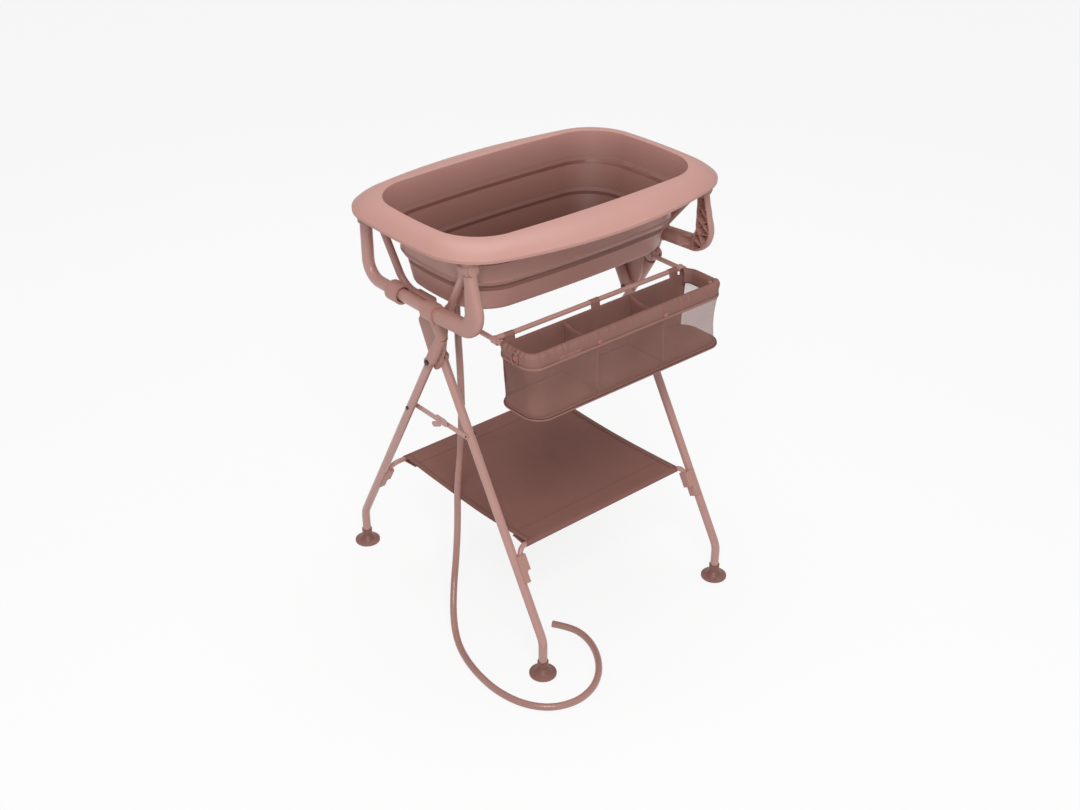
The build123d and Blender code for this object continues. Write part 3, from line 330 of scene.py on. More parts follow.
class Tree:
    """A geometry node tree with named number inputs, built node by node."""

    def __init__(self, name, **sizes):
        self.group = bpy.data.node_groups.new(name, "GeometryNodeTree")
        self.group.interface.new_socket("Geometry", in_out="INPUT", socket_type="NodeSocketGeometry")
        self.group.interface.new_socket("Geometry", in_out="OUTPUT", socket_type="NodeSocketGeometry")
        self.keys = {}
        for size, value in sizes.items():
            item = self.group.interface.new_socket(size, in_out="INPUT", socket_type="NodeSocketFloat")
            item.default_value = value
            self.keys[size] = item.identifier
        self.inputs = self.group.nodes.new("NodeGroupInput")
        self.outputs = self.group.nodes.new("NodeGroupOutput")

    def add(self, kind, settings=None, **named):
        """Adds a node, with its settings first and then its inputs; gives its first output."""
        node = self.group.nodes.new(kind)
        for key, value in (settings or {}).items():
            setattr(node, key, value)
        for key, value in named.items():
            socket = node.inputs[key.replace("_", " ")]
            if isinstance(value, bpy.types.NodeSocket):
                self.group.links.new(value, socket)
            else:
                socket.default_value = value
        return node.outputs[0]

    def finish(self, instances, material):
        """Ends the tree in real geometry of one material."""
        real = self.add("GeometryNodeRealizeInstances", Geometry=instances)
        painted = self.add("GeometryNodeSetMaterial", Geometry=real, Material=material)
        self.group.links.new(painted, self.outputs.inputs[0])

    def make(self, name, mesh, **sizes):
        """Runs the tree on a mesh and gives the result as an object with a plain mesh."""
        carrier = put(f"{name}_carrier", mesh)
        modifier = carrier.modifiers.new("tree", "NODES")
        modifier.node_group = self.group
        for size, value in sizes.items():
            modifier[self.keys[size]] = value
        result = baked(carrier)
        bpy.data.objects.remove(carrier)
        return put(name, result)


def facing_points(name, places):
    """Loose points that each carry the direction they face."""
    mesh = bpy.data.meshes.new(name)
    mesh.from_pydata([place for place, _ in places], [], [])
    facing = mesh.attributes.new("facing", "FLOAT_VECTOR", "POINT")
    for item, (_, direction) in zip(facing.data, places):
        item.vector = direction
    return mesh


def set_on_points(tree, shapes, finish):
    """Ends a tree that sets its shapes on every point, turned the way that the point faces."""
    facing = tree.add("GeometryNodeInputNamedAttribute", {"data_type": "FLOAT_VECTOR"}, Name="facing")
    turned = tree.add("FunctionNodeAlignRotationToVector", {"axis": "Z"}, Vector=facing)
    joined = tree.add("GeometryNodeJoinGeometry")
    for shape in shapes:
        tree.group.links.new(shape, joined.node.inputs[0])
    tree.finish(tree.add("GeometryNodeInstanceOnPoints", Points=tree.inputs.outputs[0], Instance=joined,
                         Rotation=turned), finish.material)


screws = Tree("screw_heads", Radius=screw_head, Height=screw_height)
screw_sizes = screws.inputs.outputs
head = screws.add("GeometryNodeMeshUVSphere", Segments=20, Rings=10, Radius=screw_sizes["Radius"])
flat = screws.add("ShaderNodeMath", {"operation": "DIVIDE"})
screws.group.links.new(screw_sizes["Height"], flat.node.inputs[0])
screws.group.links.new(screw_sizes["Radius"], flat.node.inputs[1])
squat = screws.add("ShaderNodeCombineXYZ", X=1.0, Y=1.0, Z=flat)
dome = screws.add("GeometryNodeTransform", Geometry=head, Scale=squat)
blade = screws.add("GeometryNodeMeshCube", Size=(screw_head * 1.3, screw_head * 0.26, screw_height * 2.3))
cross = screws.add("GeometryNodeTransform", Geometry=blade, Rotation=(0.0, 0.0, math.pi / 2))
set_on_points(screws, (dome, blade, cross), steel)

leg_screw_spots = []
hub_screw_spots = []
eye_low, eye_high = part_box("front_leg_head_right")
pin_low, pin_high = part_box("basket_pins")
leg_x = (eye_low[0] + eye_high[0]) / 2
pin_z = (pin_low[2] + pin_high[2]) / 2
for side in (-1, 1):
    eye_spot = (side * (leg_x + eye_screw_aside), -eye_radius, pivot_place[2] + eye_screw_lift)
    ear_spot = (side * (pin_high[0] - ear_inset), pin_low[1] - ear_over_pin, pin_z)
    leg_screw_spots.append((eye_spot, (side * 0.3, -1.0, 0.15)))
    hub_screw_spots.append((ear_spot, (0.0, -1.0, 0.1)))
leg_screws = screws.make("leg_eye_screws", facing_points("leg_eye_points", leg_screw_spots))
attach(leg_screws, "front_legs")
hub_screws = screws.make("hinge_ear_screws", facing_points("hinge_ear_points", hub_screw_spots))
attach(hub_screws, "stand")

# Release buttons: the gap round each button in its knuckle is a thin groove, shown as a ring coloured
# with painted shade, and a fine raised line runs round the button's face.
groove_width = 0.0006
groove_gap = 0.0004
groove_sink = 0.0012
line_sink = 0.0003
line_share = 0.36


def loop_points(centre, radius, count=64):
    """Points of a circle that faces the front."""
    return [Vector((centre[0] + radius * math.cos(math.tau * step / count), centre[1],
                    centre[2] + radius * math.sin(math.tau * step / count))) for step in range(count)]


def round_curve(name, kind, points, radius, sides, closed=False):
    """Curve of one spline along points, with a round section."""
    curve = bpy.data.curves.new(name, "CURVE")
    curve.dimensions = "3D"
    curve.bevel_depth = radius
    curve.bevel_resolution = sides
    curve.use_fill_caps = not closed
    spline = curve.splines.new(kind)
    spline.points.add(len(points) - 1)
    for point, place in zip(spline.points, points):
        point.co = (*place, 1.0)
    spline.use_cyclic_u = closed
    return curve, spline


def piping(name, points, radius, finish, closed=False, sides=6):
    """Round cord along points, as a plain mesh."""
    curve, spline = round_curve(f"{name}_line", "POLY", points, radius, sides, closed)
    spline.use_smooth = True
    carrier = put(f"{name}_carrier", curve)
    mesh = baked(carrier)
    bpy.data.objects.remove(carrier)
    return fit(name, mesh, finish)


def fit(name, mesh, finish):
    """An object at the origin that shows a mesh in a finish, smoothly shaded."""
    mesh.materials.clear()
    mesh.materials.append(finish.material)
    for face in mesh.polygons:
        face.use_smooth = True
    return put(name, mesh)


# Painted shade: this dark colour stands for the shadow down in the narrow gap round each button.
gap_shade_finish = Finish("button_gap_shade", tone(96, 64, 58), 0.6)
gap_shade_finish.cloudy(200.0, tone(88, 58, 52), tone(108, 73, 66))
for side_name in ("left", "right"):
    low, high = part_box(f"release_button_{side_name}")
    centre = ((low[0] + high[0]) / 2, low[1] + groove_sink, (low[2] + high[2]) / 2)
    button_width = high[0] - low[0]
    ring = piping(f"button_groove_{side_name}", loop_points(centre, button_width / 2 + groove_gap),
                  groove_width, gap_shade_finish, closed=True, sides=3)
    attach(ring, "stand")
    line_centre = (centre[0], low[1] + line_sink, centre[2])
    line = piping(f"button_line_{side_name}", loop_points(line_centre, button_width * line_share),
                  groove_width * 0.8, moulded, closed=True, sides=3)
    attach(line, f"button_{side_name}")

# Elbow arms: each is a fat tube that leaves the hub's collar, turns up in one smooth elbow and thins
# towards its button. Its side towards the tub is open, with crossing ribs inside like a lattice.
arm_low, arm_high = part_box("elbow_arm_left")
button_low, button_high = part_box("release_button_left")
arm_x = abs(button_low[0] + button_high[0]) / 2
collar_radius = 0.017
collar_z = arm_low[2] + collar_radius
arm_turn_radius = 0.042
arm_turn_y = -0.147
arm_turn_z = collar_z + 0.005 + arm_turn_radius
arm_turn_steps = 12
arm_top_y = button_low[1] + 0.0135
arm_end_inset = 0.0006
arm_top_inset = 0.003
arm_wall = 0.0026
arm_bend = 2.6
arm_lip_angle = 38
arm_skin_steps = 30
rib_thick = 0.0016
rib_pitch = 0.027
rib_draw_in = 0.14
arm_stations = ((0.00, 0.0308, 0.0308, 0.0), (0.04, 0.0340, 0.0340, 0.0), (0.22, 0.0360, 0.0320, 0.0),
                (0.34, 0.0380, 0.0280, 0.8), (0.44, 0.0430, 0.0260, 1.0), (0.56, 0.0480, 0.0250, 1.0),
                (0.66, 0.0490, 0.0250, 1.0), (0.80, 0.0390, 0.0245, 1.0), (0.92, 0.0300, 0.0240, 0.9),
                (1.00, 0.0270, 0.0240, 0.0))


def arm_line(count):
    """Points of the arm's middle line in its side view, evenly spaced, as (y, z)."""
    corners = [Vector((arm_high[1] - arm_end_inset, collar_z)),
               Vector((arm_turn_y, arm_turn_z - arm_turn_radius))]
    for step in range(1, arm_turn_steps + 1):
        turn = math.radians(270 - 90 * step / arm_turn_steps)
        corners.append(Vector((arm_turn_y + arm_turn_radius * math.cos(turn),
                               arm_turn_z + arm_turn_radius * math.sin(turn))))
    corners.append(Vector((arm_top_y, arm_high[2] - arm_top_inset)))
    spans = [(after - before).length for before, after in zip(corners, corners[1:])]
    points = []
    for number in range(count):
        reach = sum(spans) * number / (count - 1)
        index = 0
        while index < len(spans) - 1 and reach > spans[index]:
            reach -= spans[index]
            index += 1
        points.append(corners[index].lerp(corners[index + 1], min(1.0, reach / spans[index])))
    return points, sum(spans)


def arm_size(share):
    """Width, depth and opening of the arm's section, eased between its stations."""
    for (start, *before), (end, *after) in zip(arm_stations, arm_stations[1:]):
        if share <= end:
            part = (share - start) / (end - start)
            part = part * part * (3 - 2 * part)
            return [low + (high - low) * part for low, high in zip(before, after)]
    return list(arm_stations[-1][1:])


def arm_ring(width, depth, opening):
    """Section of the arm as (across, inward) pairs: its outer side, then the pocket of its open side."""
    def skin_point(turn):
        across = abs(math.cos(turn)) ** (2 / arm_bend) * math.copysign(width / 2, math.cos(turn))
        inward = abs(math.sin(turn)) ** (2 / arm_bend) * math.copysign(depth / 2, math.sin(turn))
        return across, inward
    lip = math.radians(arm_lip_angle)
    ring = []
    for step in range(arm_skin_steps + 1):
        ring.append(skin_point(math.pi - lip + (math.pi + 2 * lip) * step / arm_skin_steps))
    lip_across, lip_inward = skin_point(lip)
    inner = lip_across - arm_wall
    floor_level = arm_wall - depth / 2
    pocket = [(inner, lip_inward), (inner, lip_inward * 0.3), (inner, floor_level * 0.6),
              (inner * 0.86, floor_level), (inner * 0.4, floor_level)]
    pocket += [(-across, inward) for across, inward in reversed(pocket)]
    for step, (across, inward) in enumerate(pocket):
        turn = lip + (math.pi - 2 * lip) * (step + 1) / (len(pocket) + 1)
        closed_across, closed_inward = skin_point(turn)
        ring.append((closed_across + (across - closed_across) * opening,
                     closed_inward + (inward - closed_inward) * opening))
    return ring


def arm_frames(count):
    """Middle point, direction across and section size at even steps along the arm."""
    points, length = arm_line(count)
    found = []
    for number, point in enumerate(points):
        run = (points[min(number + 1, count - 1)] - points[max(number - 1, 0)]).normalized()
        found.append((point, Vector((run[1], -run[0])), arm_size(number / (count - 1))))
    return found, length


def sharpen(piece, degrees=32):
    """Splits a piece's sharp edges so that its flats and rounds shade apart."""
    creases = piece.modifiers.new("creases", "EDGE_SPLIT")
    creases.split_angle = math.radians(degrees)
    piece.data = baked(piece)
    piece.modifiers.clear()
    return piece


def loft(edit, rings):
    """Skins closed rings of points in turn and caps both ends, in a mesh that is being edited."""
    loops = [[edit.verts.new(point) for point in ring] for ring in rings]
    for under, over in zip(loops, loops[1:]):
        for step in range(len(under)):
            after = (step + 1) % len(under)
            edit.faces.new((under[step], under[after], over[after], over[step]))
    edit.faces.new(list(reversed(loops[0])))
    edit.faces.new(loops[-1])


def settle(edit, name):
    """Ends the editing of a mesh, with its faces turned outwards."""
    bmesh.ops.recalc_face_normals(edit, faces=edit.faces)
    mesh = bpy.data.meshes.new(name)
    edit.to_mesh(mesh)
    edit.free()
    return mesh


arm_rings = 64
rib_seat = 1.6
rib_setback = 0.006
rib_least_opening = 0.7
block_faces = ((0, 1, 2, 3), (7, 6, 5, 4), (0, 4, 5, 1), (1, 5, 6, 2), (2, 6, 7, 3), (3, 7, 4, 0))
for side, side_name in ((-1, "left"), (1, "right")):
    edit = bmesh.new()
    frames, arm_length = arm_frames(arm_rings)
    rings = []
    for point, across, size in frames:
        ring = []
        for reach, inward in arm_ring(*size):
            y = point[0] + across[0] * reach
            z = point[1] + across[1] * reach
            ring.append((side * (arm_x - inward), y, z))
        rings.append(ring)
    loft(edit, rings)
    rib_count = int(arm_length / rib_pitch)
    rib_spots = arm_frames(rib_count + 1)[0]
    for (start, start_way, start_size), (end, end_way, end_size) in zip(rib_spots, rib_spots[1:]):
        if min(start_size[2], end_size[2]) < rib_least_opening:
            continue
        for lean in (-1, 1):
            near = start + start_way * (lean * (start_size[0] / 2 - arm_wall * rib_seat))
            far = end - end_way * (lean * (end_size[0] / 2 - arm_wall * rib_seat))
            aside = (far - near).orthogonal().normalized() * rib_thick / 2
            open_level = start_size[1] / 2 - rib_setback
            deep_level = arm_wall * 0.75 - start_size[1] / 2
            corners = []
            for level, pull in ((open_level, 0.0), (deep_level, rib_draw_in)):
                low_end, high_end = near.lerp(far, pull), far.lerp(near, pull)
                for spot in (low_end - aside, low_end + aside, high_end + aside, high_end - aside):
                    corners.append(edit.verts.new((side * (arm_x - level), spot[0], spot[1])))
            for face in block_faces:
                edit.faces.new([corners[corner] for corner in face])
    arm_name = f"elbow_arm_shell_{side_name}"
    arm_piece = sharpen(fit(arm_name, settle(edit, arm_name), moulded))
    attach(arm_piece, "stand")
    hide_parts(f"elbow_arm_{side_name}")

# Shelf cloth: a taut woven sheet that wraps round both thin rails and is sewn back under itself,
# with narrow hems down its sides and a row of stitches along every hem.
shelf_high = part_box("shelf_cloth")[1]
rail_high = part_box("front_shelf_rail")[1]
shelf_half = shelf_high[0]
cloth_thick = 0.0014
sleeve_depth = 0.045
side_hem = 0.013
shelf_stitch = 0.0034
shelf_rail_radius = 0.006
shelf_rail_y = shelf_high[1] - (shelf_high[2] - rail_high[2] + shelf_rail_radius)
shelf_rail_z = rail_high[2] - shelf_rail_radius
sleeve_radius = 0.0074
sleeve_slope = 0.0052
under_steps = 7
wrap_steps = 12
face_steps = 30
half_width_steps = 20
shelf_sag = 0.008
shelf_ripple = 0.0016
ripple_clear = 0.03
hem_steps = 40
hem_end_gap = 0.008
tape_overhang = 0.0004
tape_steps = 30
tape_thick = 0.0012
tape_sink = 0.0004
stitch_lift = 0.0012


def woven(name, colour, dark, scale, roughness):
    """Plain weave on a piece's own map, which is in metres, with a soft change of colour."""
    finish = Finish(name, colour, roughness)
    warp = finish.axis(0, scale * math.tau, uv=True).wave()
    weft = finish.axis(1, scale * math.tau, uv=True).wave()
    cross_over = (finish.axis(0, scale * math.pi, uv=True).wave() > 0.5) * 0.4
    thread = warp * weft + cross_over
    cloud = finish.mottle(16.0, 3.0)
    finish.set("Base Color", finish.blend((cloud * 0.75 + thread * 0.22).held(), dark, colour))
    finish.sheen(70.0, 0.12, roughness - 0.06)
    finish.bump(thread * 0.6 + finish.mottle(260.0, 3.0), 0.25, 0.0005)
    return finish


def skin(name, rows, finish, thickness=0.0, offset=0.0):
    """Sheet of cloth through rows of points, with a map in metres along and across it."""
    mesh = bpy.data.meshes.new(name)
    width = len(rows[0])
    faces = []
    for low_row in range(len(rows) - 1):
        for step in range(width - 1):
            start = low_row * width + step
            faces.append((start, start + 1, start + width + 1, start + width))
    mesh.from_pydata([tuple(point) for row in rows for point in row], [], faces)
    alongs = [0.0]
    middle = rows[len(rows) // 2]
    for before, after in zip(middle, middle[1:]):
        alongs.append(alongs[-1] + (after - before).length)
    heights = [0.0]
    for low_row, high_row in zip(rows, rows[1:]):
        heights.append(heights[-1] + (high_row[width // 2] - low_row[width // 2]).length)
    layer = mesh.uv_layers.new(name="cloth")
    for face in mesh.polygons:
        for loop, vertex in zip(face.loop_indices, face.vertices):
            layer.data[loop].uv = (alongs[vertex % width], heights[vertex // width])
    piece = fit(name, mesh, finish)
    if thickness:
        wall = piece.modifiers.new("thickness", "SOLIDIFY")
        wall.thickness = thickness
        wall.offset = offset
        piece.data = baked(piece)
        piece.modifiers.clear()
    return piece


def shelf_level(share):
    """Height of the cloth's face at a share of the way from the front rail to the rear one."""
    return shelf_rail_z + sleeve_radius - shelf_sag * math.sin(math.pi * share)


shelf_fabric = woven("shelf_fabric", tone(155, 108, 98), tone(143, 98, 89), 700.0, 0.86)
shelf_profile = []
for step in range(under_steps):
    share = 1 - step / under_steps
    shelf_profile.append((-shelf_rail_y + sleeve_depth * share,
                          shelf_rail_z - sleeve_radius + sleeve_slope * share))
for step in range(wrap_steps + 1):
    turn = math.pi * (1.5 - step / wrap_steps)
    shelf_profile.append((-shelf_rail_y + sleeve_radius * math.cos(turn),
                          shelf_rail_z + sleeve_radius * math.sin(turn)))
front_end = list(shelf_profile)
for step in range(1, face_steps):
    share = step / face_steps
    shelf_profile.append((shelf_rail_y * (2 * share - 1), shelf_level(share)))
shelf_profile += [(-y, z) for y, z in reversed(front_end)]
shelf_rows = []
for y, z in shelf_profile:
    row = []
    for step in range(2 * half_width_steps + 1):
        x = shelf_half * (step / half_width_steps - 1)
        clear = abs(y) < shelf_rail_y - ripple_clear
        pull = shelf_ripple * noise.noise(Vector((x * 9, y * 7, 1.0))) if clear else 0.0
        row.append(Vector((x, y, z + pull)))
    shelf_rows.append(row)
shelf_sheet = skin("shelf_sheet", shelf_rows, shelf_fabric, cloth_thick, -1.0)

stitch_tree = Tree("stitches", Pitch=0.005, Length=0.0032, Thickness=0.0005)
stitch_sizes = stitch_tree.inputs.outputs
stitch_line = stitch_tree.add("GeometryNodeMeshToCurve", Mesh=stitch_sizes[0])
stitch_spots = stitch_tree.add("GeometryNodeResampleCurve", {"mode": "LENGTH"}, Curve=stitch_line,
                               Length=stitch_sizes["Pitch"])
stitch_way = stitch_tree.add("GeometryNodeInputTangent")
stitch_turn = stitch_tree.add("FunctionNodeAlignRotationToVector", {"axis": "X"}, Vector=stitch_way)
stitch_bead = stitch_tree.add("GeometryNodeMeshUVSphere", Segments=8, Rings=5, Radius=0.5)
stitch_shape = stitch_tree.add("ShaderNodeCombineXYZ", X=stitch_sizes["Length"],
                               Y=stitch_sizes["Thickness"], Z=stitch_sizes["Thickness"])
stitch_beads = stitch_tree.add("GeometryNodeInstanceOnPoints", Points=stitch_spots, Instance=stitch_bead,
                               Rotation=stitch_turn, Scale=stitch_shape)
thread_finish = Finish("sewing_thread", tone(132, 90, 82), 0.7)
thread_finish.cloudy(300.0, tone(118, 79, 72), tone(146, 101, 92))
stitch_tree.finish(stitch_beads, thread_finish.material)


def sew(name, lines, **sizes):
    """Rows of stitches along lines of points."""
    mesh = bpy.data.meshes.new(f"{name}_lines")
    points = []
    edges = []
    for line in lines:
        edges += [(len(points) + step, len(points) + step + 1) for step in range(len(line) - 1)]
        points += [tuple(point) for point in line]
    mesh.from_pydata(points, edges, [])
    return stitch_tree.make(name, mesh, **sizes)


def shelf_point(x, y):
    """Point just over the shelf cloth's face."""
    return Vector((x, y, shelf_level((y / shelf_rail_y + 1) / 2) + stitch_lift))


hem_lines = []
hem_range = range(-hem_steps, hem_steps + 1)
for y in (-shelf_rail_y + sleeve_depth, shelf_rail_y - sleeve_depth):
    hem_lines.append([shelf_point(step / hem_steps * shelf_half * 0.99, y) for step in hem_range])
for side in (-1, 1):
    x = side * (shelf_half - side_hem)
    reach = shelf_rail_y - hem_end_gap
    hem_lines.append([shelf_point(x, step / hem_steps * reach) for step in hem_range])
shelf_hems = sew("shelf_hem_stitches", hem_lines, Pitch=0.0048, Length=shelf_stitch, Thickness=0.0007)
hem_tapes = []
for side, side_name in ((-1, "left"), (1, "right")):
    rows = []
    for x in (shelf_half - side_hem, shelf_half - side_hem / 2, shelf_half + tape_overhang):
        row = []
        for step in range(-tape_steps, tape_steps + 1):
            row.append(shelf_point(side * x, step / tape_steps * shelf_rail_y) + Vector((0, 0, -tape_sink)))
        rows.append(row)
    hem_tapes.append(skin(f"shelf_side_hem_{side_name}", rows, shelf_fabric, tape_thick))
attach(shelf_sheet, "front_legs")
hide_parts("shelf_cloth")
for tape in hem_tapes + [shelf_hems]:
    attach(tape, "front_legs")
for piece in (shelf_sheet, *hem_tapes, shelf_hems):
    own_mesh(piece)

# Soft bands of the tub: two thin rubber rings, moulded between the stiff shells, roll over as the
# tub is pushed flat.
def copy_of(node, name, finish):
    """A piece with a CAD node's shape, its loose triangles joined up."""
    mesh = nodes[node].data.copy()
    edit = bmesh.new()
    edit.from_mesh(mesh)
    bmesh.ops.remove_doubles(edit, verts=edit.verts, dist=0.00002)
    edit.to_mesh(mesh)
    edit.free()
    return sharpen(fit(name, mesh, finish), 35)


for band_name, upper_body, lower_body in (("soft_band_upper", "stand", "tub_middle"),
                                          ("soft_band_lower", "tub_middle", "tub_tray")):
    low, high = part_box(band_name)
    band_piece = copy_of(band_name, f"{band_name}_skin", rubber)
    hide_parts(band_name)
    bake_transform(band_piece)

# Basket bag: an open box of cloth that hangs from the frame and the rail. Its back is solid woven
# cloth, its front and ends are see-through mesh, and its mouth is a gathered band round the frame.
bag_low, bag_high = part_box("basket_bag")
band_low, band_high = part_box("basket_band")
board_low, board_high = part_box("basket_board")
hang_low, hang_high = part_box("basket_rail")
rail_y = (hang_low[1] + hang_high[1]) / 2
rail_z = (hang_low[2] + hang_high[2]) / 2 + 0.0015
bag_bottom = bag_low[2] + 0.0008
band_bottom = band_low[2]
band_top = band_high[2]
bag_half = band_high[0]
bag_back = bag_high[1]
bag_front = bag_low[1]
bag_taper = 0.010
bag_lean = 0.005
bag_corner = 0.034
ring_steps = (26, 9, 10, 9, 96, 9, 10, 9, 26)
bag_fold = 0.0026
cloth_thin = 0.0012
net_count = 2600.0
wall_steps = 16
back_steps = 20
back_drop = 0.0105
wall_sink = 0.0042
front_slack = 0.45


def bag_ring(height):
    """Points round the bag at a height, from the middle of its back to the left, front and right."""
    drop = (band_top - height) / (band_top - bag_bottom)
    half = bag_half - bag_taper * drop
    front = bag_front + bag_lean * (1 - drop)
    left_x, right_x = -half + bag_corner, half - bag_corner
    near_y, far_y = front + bag_corner, bag_back - bag_corner
    stops = (((0.0, bag_back), (left_x, bag_back)), (left_x, far_y, 90), ((-half, far_y), (-half, near_y)),
             (left_x, near_y, 180), ((left_x, front), (right_x, front)), (right_x, near_y, 270),
             ((half, near_y), (half, far_y)), (right_x, far_y, 0), ((right_x, bag_back), (0.0, bag_back)))
    points = []
    for stop, steps in zip(stops, ring_steps):
        for step in range(steps):
            share = step / steps
            if len(stop) == 2:
                place = Vector(stop[0]).lerp(Vector(stop[1]), share)
            else:
                turn = math.radians(stop[2] + 90 * share)
                place = Vector((stop[0] + bag_corner * math.cos(turn),
                                stop[1] + bag_corner * math.sin(turn)))
            points.append(Vector((place[0], place[1], height)))
    return points


def outward(ring):
    """Level outward direction at each point of a closed ring that runs anticlockwise from above."""
    ways = []
    for step in range(len(ring)):
        run = ring[(step + 1) % len(ring)] - ring[step - 1]
        ways.append(Vector((run[1], -run[0], 0.0)).normalized())
    return ways


def wrinkle(point, fine, seed):
    """Soft random height between about -1 and 1 at a place."""
    return noise.noise(Vector((point[0] * fine, point[1] * fine, point[2] * fine * 0.35 + seed)))


back_cloth = woven("bag_cloth", tone(160, 114, 104), tone(138, 96, 88), 620.0, 0.8)
band_cloth = woven("band_cloth", tone(160, 115, 105), tone(143, 101, 92), 640.0, 0.66)
mesh_cloth = Finish("bag_mesh", tone(176, 130, 119), 0.7)
net_along = mesh_cloth.axis(0, 1.0, uv=True) * net_count
net_up = mesh_cloth.axis(1, 1.0, uv=True) * net_count
net_warp = (net_along + net_up).wave()
net_weft = (net_along - net_up).wave()
net = net_warp.math("MAXIMUM", net_warp, net_weft)
mesh_cloth.cloudy(18.0, tone(166, 121, 110), tone(186, 140, 129))
mesh_cloth.set("Alpha", ((net > 0.62) * 0.34 + 0.26).held())
mesh_cloth.sheen(60.0, 0.1, 0.66)
mesh_cloth.bump(net, 0.2, 0.0004)

ring_total = sum(ring_steps)
back_half = ring_steps[0] + ring_steps[1] // 2
front_range = range(back_half, ring_total - back_half + 1)
back_range = [step % ring_total for step in range(ring_total - back_half, ring_total + back_half + 1)]
front_rows = []
for level in range(wall_steps + 1):
    height = bag_bottom + (band_bottom + 0.004 - bag_bottom) * level / wall_steps
    ring = bag_ring(height)
    ways = outward(ring)
    rise = (height - bag_bottom) / (band_bottom - bag_bottom)
    slack = math.sin(math.pi * min(1.0, rise))
    row = []
    for step in front_range:
        point = ring[step]
        pull = 1.0 if abs(point[0]) > bag_half - bag_corner else front_slack
        inward = wall_sink * slack * pull + bag_fold * slack * 0.4 * (1 + wrinkle(point, 26.0, 2.0))
        row.append(point - ways[step] * inward)
    front_rows.append(row)
bag_mesh = skin("basket_mesh_walls", front_rows, mesh_cloth)


def cut_size(rows):
    """Flat length and width of the strip of cloth that rows of points were made from."""
    area = 0.0
    for under, over in zip(rows, rows[1:]):
        for step in range(len(under) - 1):
            slant = over[step + 1] - under[step]
            run, rise = under[step + 1] - under[step], over[step] - under[step]
            area += (run.cross(slant).length + rise.cross(slant).length) / 2
    middle = len(rows[0]) // 2
    width = sum((over[middle] - under[middle]).length for under, over in zip(rows, rows[1:]))
    return area / width, width


back_rows = []
back_top = rail_z - back_drop
for level in range(back_steps + 1):
    height = bag_bottom + (back_top - bag_bottom) * level / back_steps
    ring = bag_ring(min(height, band_top))
    ways = outward(ring)
    slack = math.sin(math.pi * min(1.0, level / back_steps)) + 0.12
    row = []
    for step in back_range:
        point = ring[step]
        fold = bag_fold * slack * (wrinkle(point, 24.0, 9.0) + 0.5 * wrinkle(point, 60.0, 4.0))
        row.append(Vector((point[0], point[1], height)) - ways[step] * (abs(fold) + 0.0012))
    back_rows.append(row)
bag_back_sheet = skin("basket_back_cloth", back_rows, back_cloth, cloth_thin)
hem_line = [point + Vector((0, 0, 0.0002)) for point in back_rows[-1]]
back_hem = piping("basket_back_hem", hem_line, 0.0013, band_cloth)

# Gathered band: one strip of cloth that goes up the outside, over the frame tube and down inside,
# drawn up on it so that it puckers, with a bound lower edge and a row of stitches.
band_profile = ((0.0, band_bottom), (0.0, band_bottom + 0.006), (0.0, band_bottom + 0.013),
                (0.0, band_bottom + 0.019), (-0.0006, band_bottom + 0.024), (-0.0022, band_top - 0.0055),
                (-0.0052, band_top - 0.0020), (-0.0095, band_top - 0.0004), (-0.0138, band_top - 0.0022),
                (-0.0168, band_top - 0.0065), (-0.0180, band_top - 0.013), (-0.0184, band_top - 0.022),
                (-0.0184, band_bottom + 0.002))
band_range = range(ring_steps[0] + 2, ring_total - ring_steps[0] - 1)
band_fine = 4
gather_deep = 0.0064
gather_in_share = 0.14
gather_start = 0.006
gather_least = 0.12
band_thick = 0.0009
binding_thick = 0.0010
stitch_height = 0.0078
stitch_out = 0.0012


def band_row(offset, height, rise):
    """One line of the band, puckered more the nearer it is to the top."""
    ring = bag_ring(max(height, band_bottom))
    ways = outward(ring)
    row = []
    along = 0.0
    for step in band_range:
        after = (step + 1) % ring_total
        for part in range(band_fine):
            point = ring[step].lerp(ring[after], part / band_fine)
            way = ways[step].lerp(ways[after], part / band_fine)
            along += (ring[after] - ring[step]).length / band_fine
            swell = 0.5 + 1.6 * noise.noise(Vector((along * 7.0, 1.7, 0.3)))
            zone = 0.35 + 0.65 * max(0.0, min(1.0, swell))
            fold = noise.noise(Vector((along * 74.0, height * 20.0, 2.0)))
            fold += 0.6 * noise.noise(Vector((along * 150.0, height * 30.0, 7.0)))
            fold += 0.35 * noise.noise(Vector((along * 24.0, height * 12.0, 11.0)))
            push = gather_deep * zone * rise * max(fold, -gather_in_share)
            row.append(Vector((point[0], point[1], height + push * 0.6)) + way * (offset + push - 0.0004))
    return row


band_rows = []
for (offset, height), (next_offset, next_height) in zip(band_profile, band_profile[1:] + band_profile[-1:]):
    for part in range(1 if (offset, height) == band_profile[-1] else 2):
        share = part / 2
        z = height + (next_height - height) * share
        rise = (z - band_bottom - gather_start) / (band_top - band_bottom - 2 * gather_start)
        rise = min(1.0, max(gather_least, rise))
        band_rows.append(band_row(offset + (next_offset - offset) * share, z, rise))
bag_band = skin("basket_gathered_band", band_rows, band_cloth, band_thick)

binding_line = band_row(-0.0002, band_bottom + 0.0012, 0.1)
binding_rows = []
for offset, lift in ((0.0006, -0.0004), (0.0013, 0.0006), (0.0014, 0.0034), (0.0006, 0.0046)):
    row = []
    for point, way in zip(binding_line, outward(binding_line)):
        row.append(Vector((point[0], point[1], band_bottom + lift)) + way * offset)
    row[0], row[-1] = row[1].copy(), row[-2].copy()
    binding_rows.append(row)
binding_cloth = woven("edge_binding", tone(172, 126, 115), tone(156, 112, 102), 800.0, 0.7)
bag_binding = skin("basket_band_binding", binding_rows, binding_cloth, binding_thick, 1.0)
stitch_row = band_row(0.0, band_bottom + stitch_height, gather_least)
sewn_line = [point + way * stitch_out for point, way in zip(stitch_row, outward(stitch_row))]
band_stitches = sew("basket_band_stitches", [sewn_line[2:-2]], Pitch=0.0052, Length=0.0034,
                    Thickness=0.0008)

